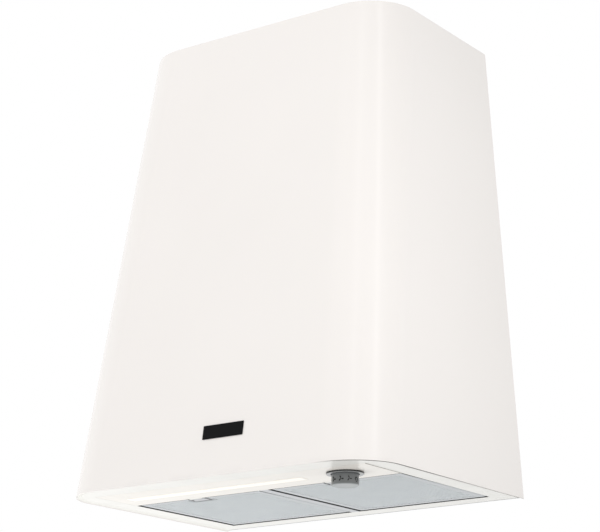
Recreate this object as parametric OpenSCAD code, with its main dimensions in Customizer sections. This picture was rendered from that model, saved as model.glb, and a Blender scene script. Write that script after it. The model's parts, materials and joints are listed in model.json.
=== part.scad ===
// Wall-mounted cooker hood: a tapered sheet casing with round front corners hangs on four wall screws.
// A blower in its upper half draws air up through two hinged mesh filters and out of a collar on top.
// A strip lamp and a rotary knob sit on the control panel in front of the filters.
//
// x runs to the right as seen from the front, y points into the wall and z is up. Heights in the
// modules count from the casing's lower edge. hung() then moves the whole hood, so that the origin
// lies on the wall in the middle of the four wall holes.

/* [Casing] */
// Height of the casing
casing_h = 652; // [600:1:790]
// Width across the lower edge
bottom_w = 497; // [430:1:600]
// Width across the upper edge
top_w = 424; // [380:1:500]
// Depth from the wall at the lower edge
bottom_d = 388; // [370:1:470]
// Depth from the wall at the upper edge
top_d = 270; // [255:1:330]
// Radius of the upright front corners
corner_r = 73; // [40:1:90]
// Thickness of the casing and frame sheet
sheet_t = 1; // [0.8:0.1:1.2]
// Height of the folded hem at the lower edge
hem_h = 9; // [6:0.5:12]
// Thickness of the back plate
back_t = 1.2; // [1:0.1:2]
// Width of the casing's folded rear flanges
flange_w = 16; // [14:0.5:22]
// How far the top cover lies below the casing's upper edge
top_recess = 12; // [10:0.5:20]

/* [Underside] */
// How far the underside lies above the casing's lower edge
panel_recess = 2; // [1:0.1:4]
// Width of the shadow gap between casing and bottom frame
shadow_gap = 5; // [3:0.1:8]
// Height of the bottom frame's folded outer rim
rim_h = 16; // [14:0.5:24]
// Width of the bottom frame beside the opening
side_rim = 34.5; // [28:0.5:50]
// Depth of the bottom frame behind the opening
rear_rim = 32; // [24:0.5:45]
// Depth of the bottom frame in front of the opening
front_rim = 46; // [36:0.5:60]
// Height of the folded lips round the opening
lip_h = 12; // [12:0.5:16]
// Depth of the control panel
panel_d = 86; // [80:0.5:110]
// Width of the bar between the filters
bar_w = 13; // [12:0.5:20]
// Wall of the bar between the filters
bar_wall = 1.2; // [1:0.1:1.6]

/* [Filters] */
// Thickness of a filter
filter_t = 9; // [9:0.5:11]
// Width of the filter's folded edge
filter_rim = 11; // [8:0.5:16]
// Sheet of the filter's edge channel
filter_wall = 1; // [0.8:0.1:1.2]
// Diameter of the pivot pins at the rear corners
pivot_d = 5; // [4:0.1:6]
// Distance from the filter's rear edge to the pivots
pivot_in = 4.6; // [4.5:0.1:6]
// Gap behind the filter, wide enough for its swing
rear_gap = 3.4; // [2.2:0.1:5]
// Rows and columns of openings in the lower mesh
net_n = 12; // [6:1:12]
// Width of the strands in the lower mesh
net_strand = 3; // [1.5:0.1:5]
// Thickness of a mesh sheet
net_t = 0.8; // [0.5:0.1:1]
// Number of foil layers in a filter
foil_n = 4; // [2:1:4]
// Thickness of a foil layer
foil_t = 0.4; // [0.2:0.1:0.6]

/* [Latches] */
// Width of the latch slider
latch_w = 33; // [24:0.5:40]
// How far the latch lies to the left of its filter's middle
latch_shift = 3.5; // [0:0.5:8]
// Depth of the latch slider
latch_d = 15; // [13:0.5:20]
// Height of the latch slider
latch_h = 6.6; // [6.2:0.1:7]
// How far the slider draws back
latch_travel = 6; // [4:0.5:7]
// Walls of the latch housing
latch_wall = 1.5; // [1:0.1:2.5]
// Width of the guide ledges that carry the slider
latch_ledge = 1.5; // [1:0.1:2]
// Width of the latch tongue
tongue_w = 14; // [8:0.5:20]
// Thickness of the latch tongue
tongue_t = 1.6; // [1:0.1:2]
// How far the tongue reaches past the filter
tongue_out = 5; // [3:0.5:7]
// Mean diameter of the latch spring
spring_d = 3.8; // [3:0.1:4]
// Wire of the latch spring
spring_wire = 0.6; // [0.4:0.1:0.8]
// Turns of the latch spring
spring_turns = 7; // [4:1:9]
// Depth of the spring's bore in the slider
spring_seat = 8; // [6:0.5:10]

/* [Lamp] */
// Middle of the lamp to the right of the hood's middle
lamp_x = -48; // [-60:1:-30]
// Middle of the lamp in front of the wall
lamp_out = 297; // [290:1:305]
// Length of the lens
lamp_len = 284; // [200:1:290]
// Width of the lens
lamp_w = 16; // [10:0.5:22]
// How far the lens stands below the panel
lens_proud = 0.5; // [0.2:0.1:1.5]
// Width of the lens flange on each side
lens_flange = 3; // [2:0.5:4]
// Height of the lamp housing
lamp_h = 17; // [14:0.5:24]
// Wall of the lamp housing
lamp_wall = 1.5; // [1:0.1:2]
// Length of the ears at the ends of the lamp housing
lamp_ear = 10; // [9:0.5:12]
// Number of light-emitting chips
led_n = 18; // [6:1:30]

/* [Knob] */
// Middle of the knob to the right of the hood's middle
knob_x = 158; // [155:1:175]
// Middle of the knob in front of the wall
knob_out = 300; // [295:1:312]
// Diameter of the knob
knob_d = 34.6; // [28:0.1:42]
// Height of the knob
knob_h = 16.2; // [13:0.1:22]
// Wall of the knob
knob_wall = 2.6; // [1.5:0.1:3.5]
// Diameter of the collar ring round the knob
collar_d = 48; // [46:0.5:60]
// Thickness of the collar ring
collar_t = 2.6; // [1.5:0.1:4]
// Gap between knob and collar ring
collar_gap = 1; // [0.5:0.1:2]
// Diameter of the switch spindle
spindle_d = 6; // [4:0.1:6.5]
// Width of the switch body
switch_w = 28; // [20:0.5:32]
// Height of the switch body
switch_h = 18; // [14:0.5:24]
// Diameter of the threaded switch bush
bush_d = 10; // [9:0.1:12]
// Width across the flats of the switch nut
nut_af = 14; // [13:0.5:17]
// Thickness of the switch nut
nut_t = 2.6; // [2:0.1:3]

/* [Badge] */
// Middle of the front plate to the right of the hood's middle
badge_x = 25; // [-100:1:100]
// Middle of the front plate above the lower edge
badge_z = 59; // [30:1:120]
// Width of the front plate
badge_w = 63; // [30:1:90]
// Height of the front plate
badge_h = 18.5; // [10:0.5:30]
// Thickness of the front plate
badge_t = 1.2; // [0.8:0.1:2]
// Thickness of the glue film behind the front plate
glue_t = 0.1; // [0.05:0.05:0.3]

/* [Outlet] */
// Outside diameter of the duct collar
duct_d = 149; // [120:1:160]
// Wall of the duct collar
duct_wall = 2.5; // [2:0.1:4]
// Height of the duct collar above the top cover
duct_h = 34; // [30:1:40]
// Width of the collar's flange
duct_flange = 13.5; // [12:0.5:18]
// Thickness of the collar's flange
duct_flange_t = 3; // [2:0.1:4]
// Space between the collar's flange and the wall
duct_margin = 14.5; // [4:0.5:30]
// Thickness of the non-return flaps
flap_t = 1.5; // [1:0.1:2]
// Gap round the flaps
flap_gap = 1; // [0.6:0.1:2]
// Diameter of the flap pin
flap_pin_d = 3; // [2.5:0.1:4]
// Diameter of the flap knuckles
knuckle_d = 6.4; // [6:0.1:8]
// Length of a flap knuckle
knuckle_len = 14; // [8:0.5:16]
// Width of the ledge that the flaps rest on
ledge_w = 6; // [4:0.5:8]
// Thickness of the ledge
ledge_t = 2; // [1.5:0.1:3]

/* [Blower] */
// Diameter of the impeller
wheel_d = 160; // [150:1:164]
// Width of the impeller
wheel_w = 120; // [110:1:124]
// Radial depth of the impeller blades
blade_d = 13; // [10:0.5:16]
// Number of impeller blades
blade_n = 32; // [16:1:40]
// Thickness of a blade
blade_t = 1.4; // [1:0.1:2]
// Outside width of the blower housing
scroll_w = 140; // [136:1:150]
// Wall of the blower housing
scroll_wall = 2.5; // [2:0.1:3]
// Radius of the housing at its tongue
scroll_start = 88; // [86:1:92]
// Radius of the housing where it turns into the outlet
scroll_end = 130; // [124:1:136]
// Depth of the blower's outlet
outlet_open = 86; // [80:1:92]
// Height of the outlet's flange above the impeller's axis
outlet_rise = 150; // [140:1:160]
// Diameter of the air inlets
inlet_d = 132; // [120:1:136]
// Height of the adapter between blower and top cover
adapter_h = 60; // [40:1:80]
// Width of the flanges at the blower's outlet
blower_flange = 9; // [8:0.5:12]
// Thickness of the flanges at the blower's outlet
blower_flange_t = 3; // [2:0.1:4]
// Length of the rubber mounts
mount_len = 15; // [10:0.5:20]
// Diameter of the rubber mounts
mount_d = 18; // [14:0.5:22]
// Thickness of the blower brackets
bracket_t = 1.5; // [1.2:0.1:2]
// Width of the blower brackets' flanges
bracket_flange = 28; // [20:1:30]

/* [Motor] */
// Diameter of the motor
motor_d = 88; // [80:1:96]
// Length of the motor
motor_len = 56; // [50:1:58]
// Wall of the motor can
can_wall = 2; // [1.5:0.1:2.5]
// Thickness of the motor's end cap
cap_t = 4; // [3:0.1:5]
// Diameter of the motor shaft
shaft_d = 8; // [6:0.1:10]
// Outside diameter of the bearings
bearing_d = 22; // [19:0.5:26]
// Width of the bearings
bearing_w = 7; // [6:0.1:8]
// Diameter of the rotor
rotor_d = 47; // [40:1:50]
// Length of rotor and stator core
core_len = 26; // [20:1:28]
// Air gap between rotor and stator
air_gap = 0.5; // [0.3:0.1:1]

/* [Control box] */
// Width of the control box
box_w = 110; // [100:1:120]
// Height of the control box
box_h = 90; // [84:1:110]
// Depth of the control box
box_d = 46; // [42:1:60]
// Wall of the control box
box_wall = 2; // [1.5:0.1:3]
// Left edge of the control box from the hood's middle
box_x = -190; // [-195:1:-160]
// Lower edge of the control box above the casing's lower edge
box_z = 150; // [90:1:180]
// Height of the circuit board's posts
post_h = 8; // [6:0.5:12]

/* [Wall mounting] */
// Sideways distance between the wall holes
wall_dx = 280; // [250:1:300]
// Upright distance between the wall holes
wall_dz = 290; // [260:1:310]
// Distance from the top cover down to the upper wall holes
wall_drop = 50; // [40:1:70]
// Diameter of the wall holes
wall_hole_d = 8; // [6:0.1:10]

/* [Cable gland] */
// Middle of the cable gland to the right of the hood's middle
gland_x = -130; // [-150:1:-115]
// Middle of the cable gland in front of the wall
gland_out = 60; // [40:1:100]
// Bore of the cable gland
gland_bore = 8.4; // [6:0.1:10]
// Diameter of the gland's threaded body
gland_d = 14; // [13:0.5:18]

/* [Leads] */
// Diameter of the inner leads
lead_d = 5; // [4:0.5:5.5]
// Radius of the bends in the inner leads
lead_bend = 5; // [4:0.5:5]

/* [Fasteners] */
// Shank diameter of the sheet-metal screws
screw_d = 3.5; // [3:0.1:4]
// Head diameter of the sheet-metal screws
head_d = 7; // [6:0.1:8]
// Head height of the sheet-metal screws
head_h = 2; // [1.5:0.1:3]
// Length of the sheet-metal screws
screw_len = 8; // [7:0.5:12]

/* [Clearances] */
// Gap between sheets that are fitted into one another
fit_gap = 0.2; // [0.1:0.05:0.3]
// Seam between control panel and bottom frame
seam_gap = 0.5; // [0.3:0.1:1]
// Gap in front of and beside the filters
filter_gap = 3.6; // [0.8:0.1:4]
// Sliding gap of the latches
slide_gap = 0.3; // [0.2:0.05:0.5]
// Radial running gap of pins and shafts
run_gap = 0.05; // [0.03:0.01:0.1]

/* [Hidden] */
$fn = 64;
arc_steps = 16;
spiral_steps = 60;
blade_steps = 3;
blade_sweep = 9;
blade_in = 0.5;
ring_sides = 6;
rings_per_turn = 8;
over = 1;
lead_sides = 8;
bend_steps = 3;
bend_share = 0.45;

top_z = casing_h - top_recess;
front_lean = atan((bottom_d - top_d) / casing_h);
hang_z = top_z - wall_drop - wall_dz / 2;

frame_in = 2 * sheet_t + shadow_gap;
frame_back = back_t + sheet_t + fit_gap;
opening_w = bottom_w - 2 * side_rim;
open_front = front_rim - bottom_d;
open_rear = -rear_rim;
panel_front = open_front + seam_gap;
panel_rear = panel_front + panel_d;
panel_half = opening_w / 2 - seam_gap;
lip_top = panel_recess + lip_h;

filter_front = panel_rear + filter_gap;
filter_rear = open_rear - rear_gap;
filter_d = filter_rear - filter_front;
filter_w = (opening_w - bar_w) / 2 - 2 * filter_gap;
filter_x = (opening_w + bar_w) / 4;
pivot_y = filter_rear - pivot_in;
pivot_z = panel_recess + filter_t / 2;
pivot_end = 0.6;
pivot_len = filter_gap + bar_wall + pivot_end;
foil_pitch = (filter_t - 2 * filter_wall - net_t - foil_t) / foil_n;

pocket_d = latch_d + latch_travel + 2 * slide_gap;
house_w = latch_w + 2 * slide_gap + 2 * latch_wall;
house_d = filter_wall + pocket_d + latch_wall;
latch_foot = 1.9;
latch_front = filter_front + filter_wall + slide_gap;
tongue_z = panel_recess + latch_h - tongue_t;
spring_y = latch_front + latch_d - spring_seat;
spring_len = spring_seat + latch_travel + slide_gap;
spring_z = panel_recess + (latch_foot + latch_h) / 2;

lamp_y = -lamp_out;
lamp_floor = panel_recess + sheet_t;
housing_w = lamp_w + 2 * lens_flange + 2 * fit_gap + 2 * lamp_wall;
housing_len = lamp_len + 2 * lens_flange + 2 * fit_gap + 2 * lamp_wall;
lens_t = 1.2;
board_t = 1.6;
chip_t = 0.8;
stud_d = 3;
stud_h = 7;
stud_x = (housing_len + lamp_ear) / 2;

knob_y = -knob_out;
knob_lift = 0.8;
bush_room = 5.8;
knob_top = panel_recess - knob_lift;
knob_bore_top = knob_h - bush_room;
bush_len = 5;

duct_r = duct_d / 2;
bore_r = duct_r - duct_wall;
outlet_y = -(duct_r + duct_flange + duct_margin);
flap_r = bore_r - flap_gap;
flap_rise = 0.4;
flap_z = top_z + sheet_t + duct_h * flap_rise;
knuckle_gap = 0.4;
flap_clear = knuckle_d / 2 + knuckle_gap;
rear_knuckles = [-46, 16];
front_knuckles = [-30, 32];
pin_in = 0.5;
collar_screw_r = duct_r + duct_flange / 2;
cover_hole_out = 4.5;

blower_top = top_z - adapter_h;
blower_z = blower_top - outlet_rise;
outlet_in = scroll_end - outlet_open;
blower_y = outlet_y - (outlet_in + scroll_end) / 2;
tongue_a = acos(outlet_in / scroll_start);
half_scroll = scroll_w / 2;
ear_d = 12;
ear_t = 8;
ear_angles = [110, 200, 290];
lug_in = 25;
lug_y = blower_y + scroll_end - lug_in;
lug_heights = [-10, 60];
bracket_low = -30;
bracket_high = 80;
adapter_lip = 3;

motor_x = half_scroll - motor_len;
hub_d = 24;
hub_len = 18;
core_x = motor_x + (motor_len - cap_t - core_len) / 2;
motor_screw_r = 32;
bracket_screw_out = 10;
bracket_screw_r = inlet_d / 2 + bracket_screw_out;
arm_angles = [30, 150, 270];
motor_plate_t = 3;
shaft_clear = 1;

lid_y = -back_t - box_d;
board_y = -back_t - box_wall - post_h;
box_mid_x = box_x + box_w / 2;
box_mid_z = box_z + box_h / 2;
corner_post = 9;
board_post_d = 6;
board_post_in = 18;

// Distances of the screws from the edges beside them
flange_screw_low = 40;
flange_screw_high = 60;
cover_screw_x = 120;
cover_screw_drop = 7;
bracket_screw_in = 15;
panel_screw_in = 18;
panel_screw_drop = 4;
adapter_screw_in = 8;

// Routes of the inner leads, from the control box to lamp, switch and motor
lead_x = opening_w / 2 + 14;
lamp_route = [
    [-170, -17, box_z], [-170, -17, 6], [-lead_x, -17, 6], [-lead_x, lamp_y, 6], [-lead_x, lamp_y, 17],
    [lamp_x - housing_len / 2, lamp_y, 17]
];
switch_route = [
    [-100, -17, box_z], [-100, -17, 6], [lead_x, -17, 6], [lead_x, knob_y, 6], [lead_x, knob_y, 17],
    [knob_x + switch_w / 2, knob_y, 17]
];
motor_route = [
    [-100, -4, box_z + box_h], [-100, -4, 300], [82, -4, 300], [82, -4, blower_z + 25],
    [82, blower_y + 90, blower_z + 25], [76, blower_y + 66, blower_z + 46],
    [76, blower_y + 14, blower_z + 16], [half_scroll + motor_plate_t, blower_y + 14, blower_z + 16]
];

cream = "#efece6";
light_grey = "#c9ccce";
steel = "#9ea3a6";
dark = "#2b2c2e";

// Half the casing's width at a height above its lower edge
function half_w(z) = (bottom_w + (top_w - bottom_w) * z / casing_h) / 2;

// The casing's depth at a height above its lower edge
function depth_at(z) = bottom_d + (top_d - bottom_d) * z / casing_h;

function arc(cx, cy, r, from, to) = [
    for (i = [0 : arc_steps])
        let (a = from + (to - from) * i / arc_steps) [cx + r * cos(a), cy + r * sin(a)]
];

// Plan of the casing at height z, set in all round by inset, with its rear edge at y = back
function plan(z, inset, back) =
    let (w = half_w(z) - inset, d = depth_at(z) - inset, r = corner_r - inset)
    concat(
        [[w, back], [-w, back]],
        arc(r - w, r - d, r, 180, 270),
        arc(w - r, r - d, r, 270, 360)
    );

// Places shared by holes and the screws that go through them
function flange_spots() = [
    for (side = [-1, 1], z = [rim_h + flange_screw_low, casing_h / 2, top_z - flange_screw_high])
        [side * (half_w(z) - flange_w / 2), z]
];

function cover_spots() = [for (side = [-1, 1]) [side * cover_screw_x, top_z - cover_screw_drop]];

function bracket_spots() = [
    for (side = [-1, 1], v = [bracket_low + bracket_screw_in, bracket_high - bracket_screw_in])
        [side * (half_scroll + mount_len + bracket_t + bracket_flange / 2), blower_z + v]
];

function box_ear_spots() = [for (side = [-1, 1]) [box_mid_x + side * (box_w + corner_post) / 2, box_mid_z]];

function wall_spots() = [
    for (sx = [-1, 1], sz = [-1, 1]) [sx * wall_dx / 2, hang_z + sz * wall_dz / 2]
];

function panel_spots() = [
    for (side = [-1, 1], y = [panel_front + panel_screw_in, panel_rear - panel_screw_in])
        [side, y, lip_top - panel_screw_drop]
];

function collar_spots() = [
    for (a = [45 : 90 : 315]) [collar_screw_r * cos(a), outlet_y + collar_screw_r * sin(a)]
];

function adapter_spots() = [
    for (sx = [-1, 1], sy = [-1, 1])
        [sx * (half_scroll + blower_flange / 2), outlet_y + sy * (outlet_open / 2 - adapter_screw_in)]
];

// Moves the hood so that the origin is in the middle of the wall holes
module hung() {
    translate([0, 0, -hang_z]) children();
}

module box(low, high) {
    translate(low) cube(high - low);
}

// Turns a shape's upright axis to the right
module along_x(at) {
    translate(at) rotate([0, 90, 0]) children();
}

// Turns a shape's upright axis into the wall
module along_y(at) {
    translate(at) rotate([-90, 0, 0]) children();
}

// Draws in the blower's side view: local x goes into the wall, local y up and local z to the right
module in_blower(x) {
    translate([x, blower_y, blower_z]) rotate([90, 0, 90]) children();
}

module ring(outer, inner, h) {
    difference() {
        cylinder(d = outer, h = h);
        translate([0, 0, -over]) cylinder(d = inner, h = h + 2 * over);
    }
}

// Screw with its head above z = 0
module screw(length) {
    cylinder(d = head_d, h = head_h);
    translate([0, 0, -length]) cylinder(d = screw_d, h = length);
}

module screw_hole(length) {
    translate([0, 0, -length]) cylinder(d = screw_d + 2 * run_gap, h = 2 * length);
}

// Solid between two heights with the casing's tapered plan
module casing_block(low, high, inset, back) {
    under = plan(low, inset, back);
    upper = plan(high, inset, back);
    n = len(under);
    polyhedron(
        points = concat([for (p = under) [p.x, p.y, low]], [for (p = upper) [p.x, p.y, high]]),
        faces = concat(
            [[for (i = [0 : n - 1]) i]],
            [[for (i = [n - 1 : -1 : 0]) n + i]],
            [for (i = [0 : n - 1]) let (j = (i + 1) % n) [i, n + i, n + j, j]]
        )
    );
}

// Upright sheet parallel to the wall: corners are [x, z], and its rear face is at y = rear
module wall_sheet(corners, rear, t) {
    translate([0, rear, 0]) rotate([90, 0, 0]) linear_extrude(t) polygon(corners);
}

module rear_flange(side) {
    low = rim_h + over;
    high = top_z - over;
    corners = [[low, sheet_t / 2], [high, sheet_t / 2], [high, flange_w], [low, flange_w]];
    wall_sheet([for (c = corners) [side * (half_w(c.x) - c.y), c.x]], -back_t, sheet_t);
}

// Front and sides as one bent sheet: its section, with the folded hem, follows the plan from the
// rear left edge round the front to the rear right edge
module bent_sheet() {
    section = [
        [0, 0], [casing_h, 0], [casing_h, sheet_t],
        [hem_h, sheet_t], [hem_h, 2 * sheet_t], [0, 2 * sheet_t]
    ];
    m = len(section);
    n = len(plan(0, 0, 0));
    points = [
        for (c = section)
            let (line = plan(c.x, c.y, 0))
            for (s = [1 : n]) [line[s % n].x, line[s % n].y, c.x]
    ];
    walls = [
        for (k = [0 : m - 1], s = [0 : n - 2])
            let (a = k * n + s, b = (k + 1) % m * n + s)
            [a, b, b + 1, a + 1]
    ];
    left_end = [[3 * n, 2 * n, n, 0], [5 * n, 4 * n, 3 * n, 0]];
    right_end = [for (f = left_end) [for (i = [3 : -1 : 0]) f[i] + n - 1]];
    polyhedron(points = points, faces = concat(walls, left_end, right_end));
}

module casing() {
    color(cream) difference() {
        union() {
            bent_sheet();
            for (side = [-1, 1]) rear_flange(side);
        }
        for (s = flange_spots()) along_y([s.x, -back_t, s.y]) screw_hole(screw_len);
    }
}

module back_plate() {
    low = panel_recess;
    high = casing_h - over;
    half = [half_w(low) - sheet_t * 2 - fit_gap, half_w(high) - sheet_t - fit_gap];
    through = back_t + 2 * over;
    color(steel) difference() {
        wall_sheet([[-half[0], low], [half[0], low], [half[1], high], [-half[1], high]], 0, back_t);
        for (s = wall_spots())
            along_y([s.x, -back_t - over, s.y]) cylinder(d = wall_hole_d, h = through);
        for (s = concat(flange_spots(), cover_spots()))
            along_y([s.x, -back_t - over, s.y]) cylinder(d = head_d + 2 * run_gap, h = through);
        for (s = concat(bracket_spots(), box_ear_spots())) along_y([s.x, 0, s.y]) screw_hole(screw_len);
    }
}

module top_cover() {
    tab_h = 14;
    tab_half = 140;
    color(cream) difference() {
        union() {
            difference() {
                casing_block(top_z, casing_h - over, sheet_t + fit_gap, -back_t);
                casing_block(top_z + sheet_t, casing_h + over, 2 * sheet_t + fit_gap, over);
            }
            box([-tab_half, -back_t - sheet_t, top_z - tab_h], [tab_half, -back_t, top_z + sheet_t / 2]);
        }
        translate([0, outlet_y, top_z - over]) cylinder(r = bore_r + cover_hole_out, h = 3 * over);
        translate([gland_x, -gland_out, top_z - over]) cylinder(d = gland_d + 2 * fit_gap, h = 3 * over);
        for (s = collar_spots()) translate([s.x, s.y, top_z]) screw_hole(screw_len);
        for (s = cover_spots()) along_y([s.x, -back_t, s.y]) screw_hole(screw_len);
    }
}

module bottom_frame() {
    color(cream) difference() {
        union() {
            difference() {
                casing_block(panel_recess, rim_h, frame_in, -frame_back);
                casing_block(panel_recess + sheet_t, rim_h + over, frame_in + sheet_t,
                    -frame_back - sheet_t);
            }
            difference() {
                casing_block(rim_h - sheet_t, rim_h, sheet_t + fit_gap, -frame_back);
                casing_block(rim_h - 2 * sheet_t, rim_h + over, frame_in + sheet_t / 2,
                    -frame_back - sheet_t / 2);
            }
            box([-opening_w / 2 - sheet_t, open_front - sheet_t, panel_recess],
                [opening_w / 2 + sheet_t, open_rear + sheet_t, lip_top]);
        }
        box([-opening_w / 2, open_front, -over], [opening_w / 2, open_rear, lip_top + over]);
        along_x([-bottom_w / 2, pivot_y, pivot_z]) cylinder(d = pivot_d + 2 * run_gap, h = bottom_w);
        for (s = panel_spots()) along_x([s.x * opening_w / 2, s.y, s.z]) screw_hole(screw_len);
    }
}

module control_panel() {
    notch_front = filter_front - tongue_out - filter_gap;
    color(cream) difference() {
        union() {
            difference() {
                box([-panel_half, panel_front, panel_recess], [panel_half, panel_rear, lip_top]);
                box([sheet_t - panel_half, panel_front + sheet_t, panel_recess + sheet_t],
                    [panel_half - sheet_t, panel_rear + over, lip_top + over]);
            }
            for (side = [-1, 1]) translate([lamp_x + side * stud_x, lamp_y, panel_recess + sheet_t / 2])
                cylinder(d = stud_d, h = stud_h + sheet_t / 2);
        }
        box([lamp_x - lamp_len / 2 - fit_gap, lamp_y - lamp_w / 2 - fit_gap, -over],
            [lamp_x + lamp_len / 2 + fit_gap, lamp_y + lamp_w / 2 + fit_gap, lamp_floor + over]);
        translate([knob_x, knob_y, -over]) cylinder(d = bush_d + 2 * fit_gap, h = lip_top);
        for (side = [-1, 1])
            box([side * filter_x - latch_shift - tongue_w / 2 - filter_gap, notch_front, -over],
                [side * filter_x - latch_shift + tongue_w / 2 + filter_gap, panel_rear + over,
                 lamp_floor + over]);
        for (s = panel_spots()) along_x([s.x * panel_half, s.y, s.z]) screw_hole(screw_len);
    }
}

module center_bar() {
    color(light_grey) difference() {
        box([-bar_w / 2, panel_rear, panel_recess], [bar_w / 2, open_rear, lip_top]);
        box([bar_wall - bar_w / 2, panel_rear - over, panel_recess + bar_wall],
            [bar_w / 2 - bar_wall, open_rear + over, lip_top + over]);
        along_x([-bar_w, pivot_y, pivot_z]) cylinder(d = pivot_d + 2 * run_gap, h = 2 * bar_w);
    }
}

module badge() {
    color(dark) translate([badge_x, -depth_at(badge_z), badge_z]) rotate([90 - front_lean, 0, 0])
        translate([-badge_w / 2, -badge_h / 2, glue_t]) cube([badge_w, badge_h, badge_t]);
}

module lamp_lens() {
    color("#fff4dc") {
        box([lamp_x - lamp_len / 2, lamp_y - lamp_w / 2, panel_recess - lens_proud],
            [lamp_x + lamp_len / 2, lamp_y + lamp_w / 2, lamp_floor + lens_t / 2]);
        box([lamp_x - lamp_len / 2 - lens_flange, lamp_y - lamp_w / 2 - lens_flange, lamp_floor],
            [lamp_x + lamp_len / 2 + lens_flange, lamp_y + lamp_w / 2 + lens_flange, lamp_floor + lens_t]);
    }
}

module lamp_housing() {
    hl = housing_len / 2;
    hw = housing_w / 2;
    color(steel) translate([lamp_x, lamp_y, lamp_floor]) difference() {
        union() {
            box([-hl, -hw, 0], [hl, hw, lamp_h]);
            box([-hl - lamp_ear, -hw, 0], [hl + lamp_ear, hw, lamp_wall]);
        }
        box([lamp_wall - hl, lamp_wall - hw, -over], [hl - lamp_wall, hw - lamp_wall, lamp_h - lamp_wall]);
        for (side = [-1, 1]) translate([side * stud_x, 0, -over])
            cylinder(d = stud_d + 2 * fit_gap, h = lamp_wall + 2 * over);
    }
}

module lamp_board() {
    top = lamp_floor + lamp_h - lamp_wall;
    color("#e8e8e4") box([lamp_x - lamp_len / 2, lamp_y - lamp_w / 2, top - board_t],
        [lamp_x + lamp_len / 2, lamp_y + lamp_w / 2, top]);
}

module led_chips() {
    chip_w = 3;
    top = lamp_floor + lamp_h - lamp_wall - board_t;
    pitch = lamp_len / led_n;
    color("#f5d76a") for (i = [0 : led_n - 1])
        translate([lamp_x + (i - (led_n - 1) / 2) * pitch - chip_w / 2, lamp_y - chip_w / 2, top - chip_t])
            cube([chip_w, chip_w, chip_t]);
}

module lamp_nuts() {
    lamp_nut_h = 2.4;
    color(steel) for (side = [-1, 1])
        translate([lamp_x + side * stud_x, lamp_y, lamp_floor + lamp_wall]) difference() {
            cylinder(d = 2 * stud_d, h = lamp_nut_h, $fn = 6);
            translate([0, 0, -over]) cylinder(d = stud_d + 2 * run_gap, h = lamp_nut_h + 2 * over);
        }
}

module knob() {
    r = knob_d / 2;
    inner = r - knob_wall;
    boss_wall = 2.5;
    boss = spindle_d / 2 + boss_wall;
    bevel = 0.9;
    color(light_grey) translate([knob_x, knob_y, knob_top - knob_h]) rotate_extrude() polygon([
        [0, 0], [r - bevel, 0], [r, bevel], [r, knob_h], [inner, knob_h], [inner, knob_wall],
        [boss, knob_wall], [boss, knob_bore_top], [spindle_d / 2, knob_bore_top],
        [spindle_d / 2, knob_wall], [0, knob_wall]
    ]);
}

module knob_collar() {
    color(light_grey) translate([knob_x, knob_y, panel_recess - collar_t])
        ring(collar_d, knob_d + 2 * collar_gap, collar_t);
}

module switch_spindle() {
    low = knob_top - knob_h + knob_wall;
    color(steel) translate([knob_x, knob_y, low])
        cylinder(d = spindle_d, h = lamp_floor + switch_h / 2 - low);
}

module rotary_switch() {
    tag = [3, 1, 7];
    tag_pitch = 8;
    color(dark) translate([knob_x, knob_y, lamp_floor]) difference() {
        union() {
            translate([-switch_w / 2, -switch_w / 2, 0]) cube([switch_w, switch_w, switch_h]);
            translate([0, 0, -bush_len]) cylinder(d = bush_d, h = bush_len + over);
            for (i = [-1 : 1]) translate([i * tag_pitch - tag.x / 2, switch_w / 4, switch_h - over])
                cube(tag);
        }
        translate([0, 0, -bush_len - over])
            cylinder(d = spindle_d + 2 * run_gap, h = bush_len + over + switch_h / 2 + fit_gap);
    }
}

module switch_nut() {
    color(steel) translate([knob_x, knob_y, panel_recess - nut_t]) difference() {
        cylinder(d = nut_af / cos(30), h = nut_t, $fn = 6);
        translate([0, 0, -over]) cylinder(d = bush_d + 2 * run_gap, h = nut_t + 2 * over);
    }
}

// Flat block inside a filter's outline, set in all round by inset, between two heights in the filter
module filter_block(x, inset, low, high) {
    box([x - filter_w / 2 + inset, filter_front + inset, panel_recess + low],
        [x + filter_w / 2 - inset, filter_rear - inset, panel_recess + high]);
}

// Space of the latch housing, grown all round by gap
module latch_house(x, gap) {
    mid = x - latch_shift;
    box([mid - house_w / 2 - gap, filter_front, panel_recess],
        [mid + house_w / 2 + gap, filter_front + house_d + gap, panel_recess + filter_t]);
}

module filter_frame(x) {
    ledge_z = panel_recess + latch_foot - slide_gap;
    half = latch_w / 2 + slide_gap;
    pocket_front = filter_front + filter_wall;
    mid = x - latch_shift;
    color(light_grey) difference() {
        union() {
            difference() {
                filter_block(x, 0, 0, filter_t);
                filter_block(x, filter_rim, -over, filter_t + over);
                filter_block(x, filter_wall, filter_wall, filter_t - filter_wall);
            }
            latch_house(x, 0);
            for (side = [-1, 1])
                along_x([x + side * (filter_w / 2 - filter_wall / 2 + pivot_len / 2), pivot_y, pivot_z])
                    cylinder(d = pivot_d, h = pivot_len + filter_wall, center = true);
        }
        box([mid - half, pocket_front, ledge_z],
            [mid + half, pocket_front + pocket_d, panel_recess + latch_h + slide_gap]);
        box([mid - half + latch_ledge, pocket_front, -over],
            [mid + half - latch_ledge, pocket_front + pocket_d, ledge_z + over]);
        box([mid - tongue_w / 2 - slide_gap, filter_front - over, tongue_z - slide_gap],
            [mid + tongue_w / 2 + slide_gap, pocket_front + over, tongue_z + tongue_t + slide_gap]);
    }
}

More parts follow.
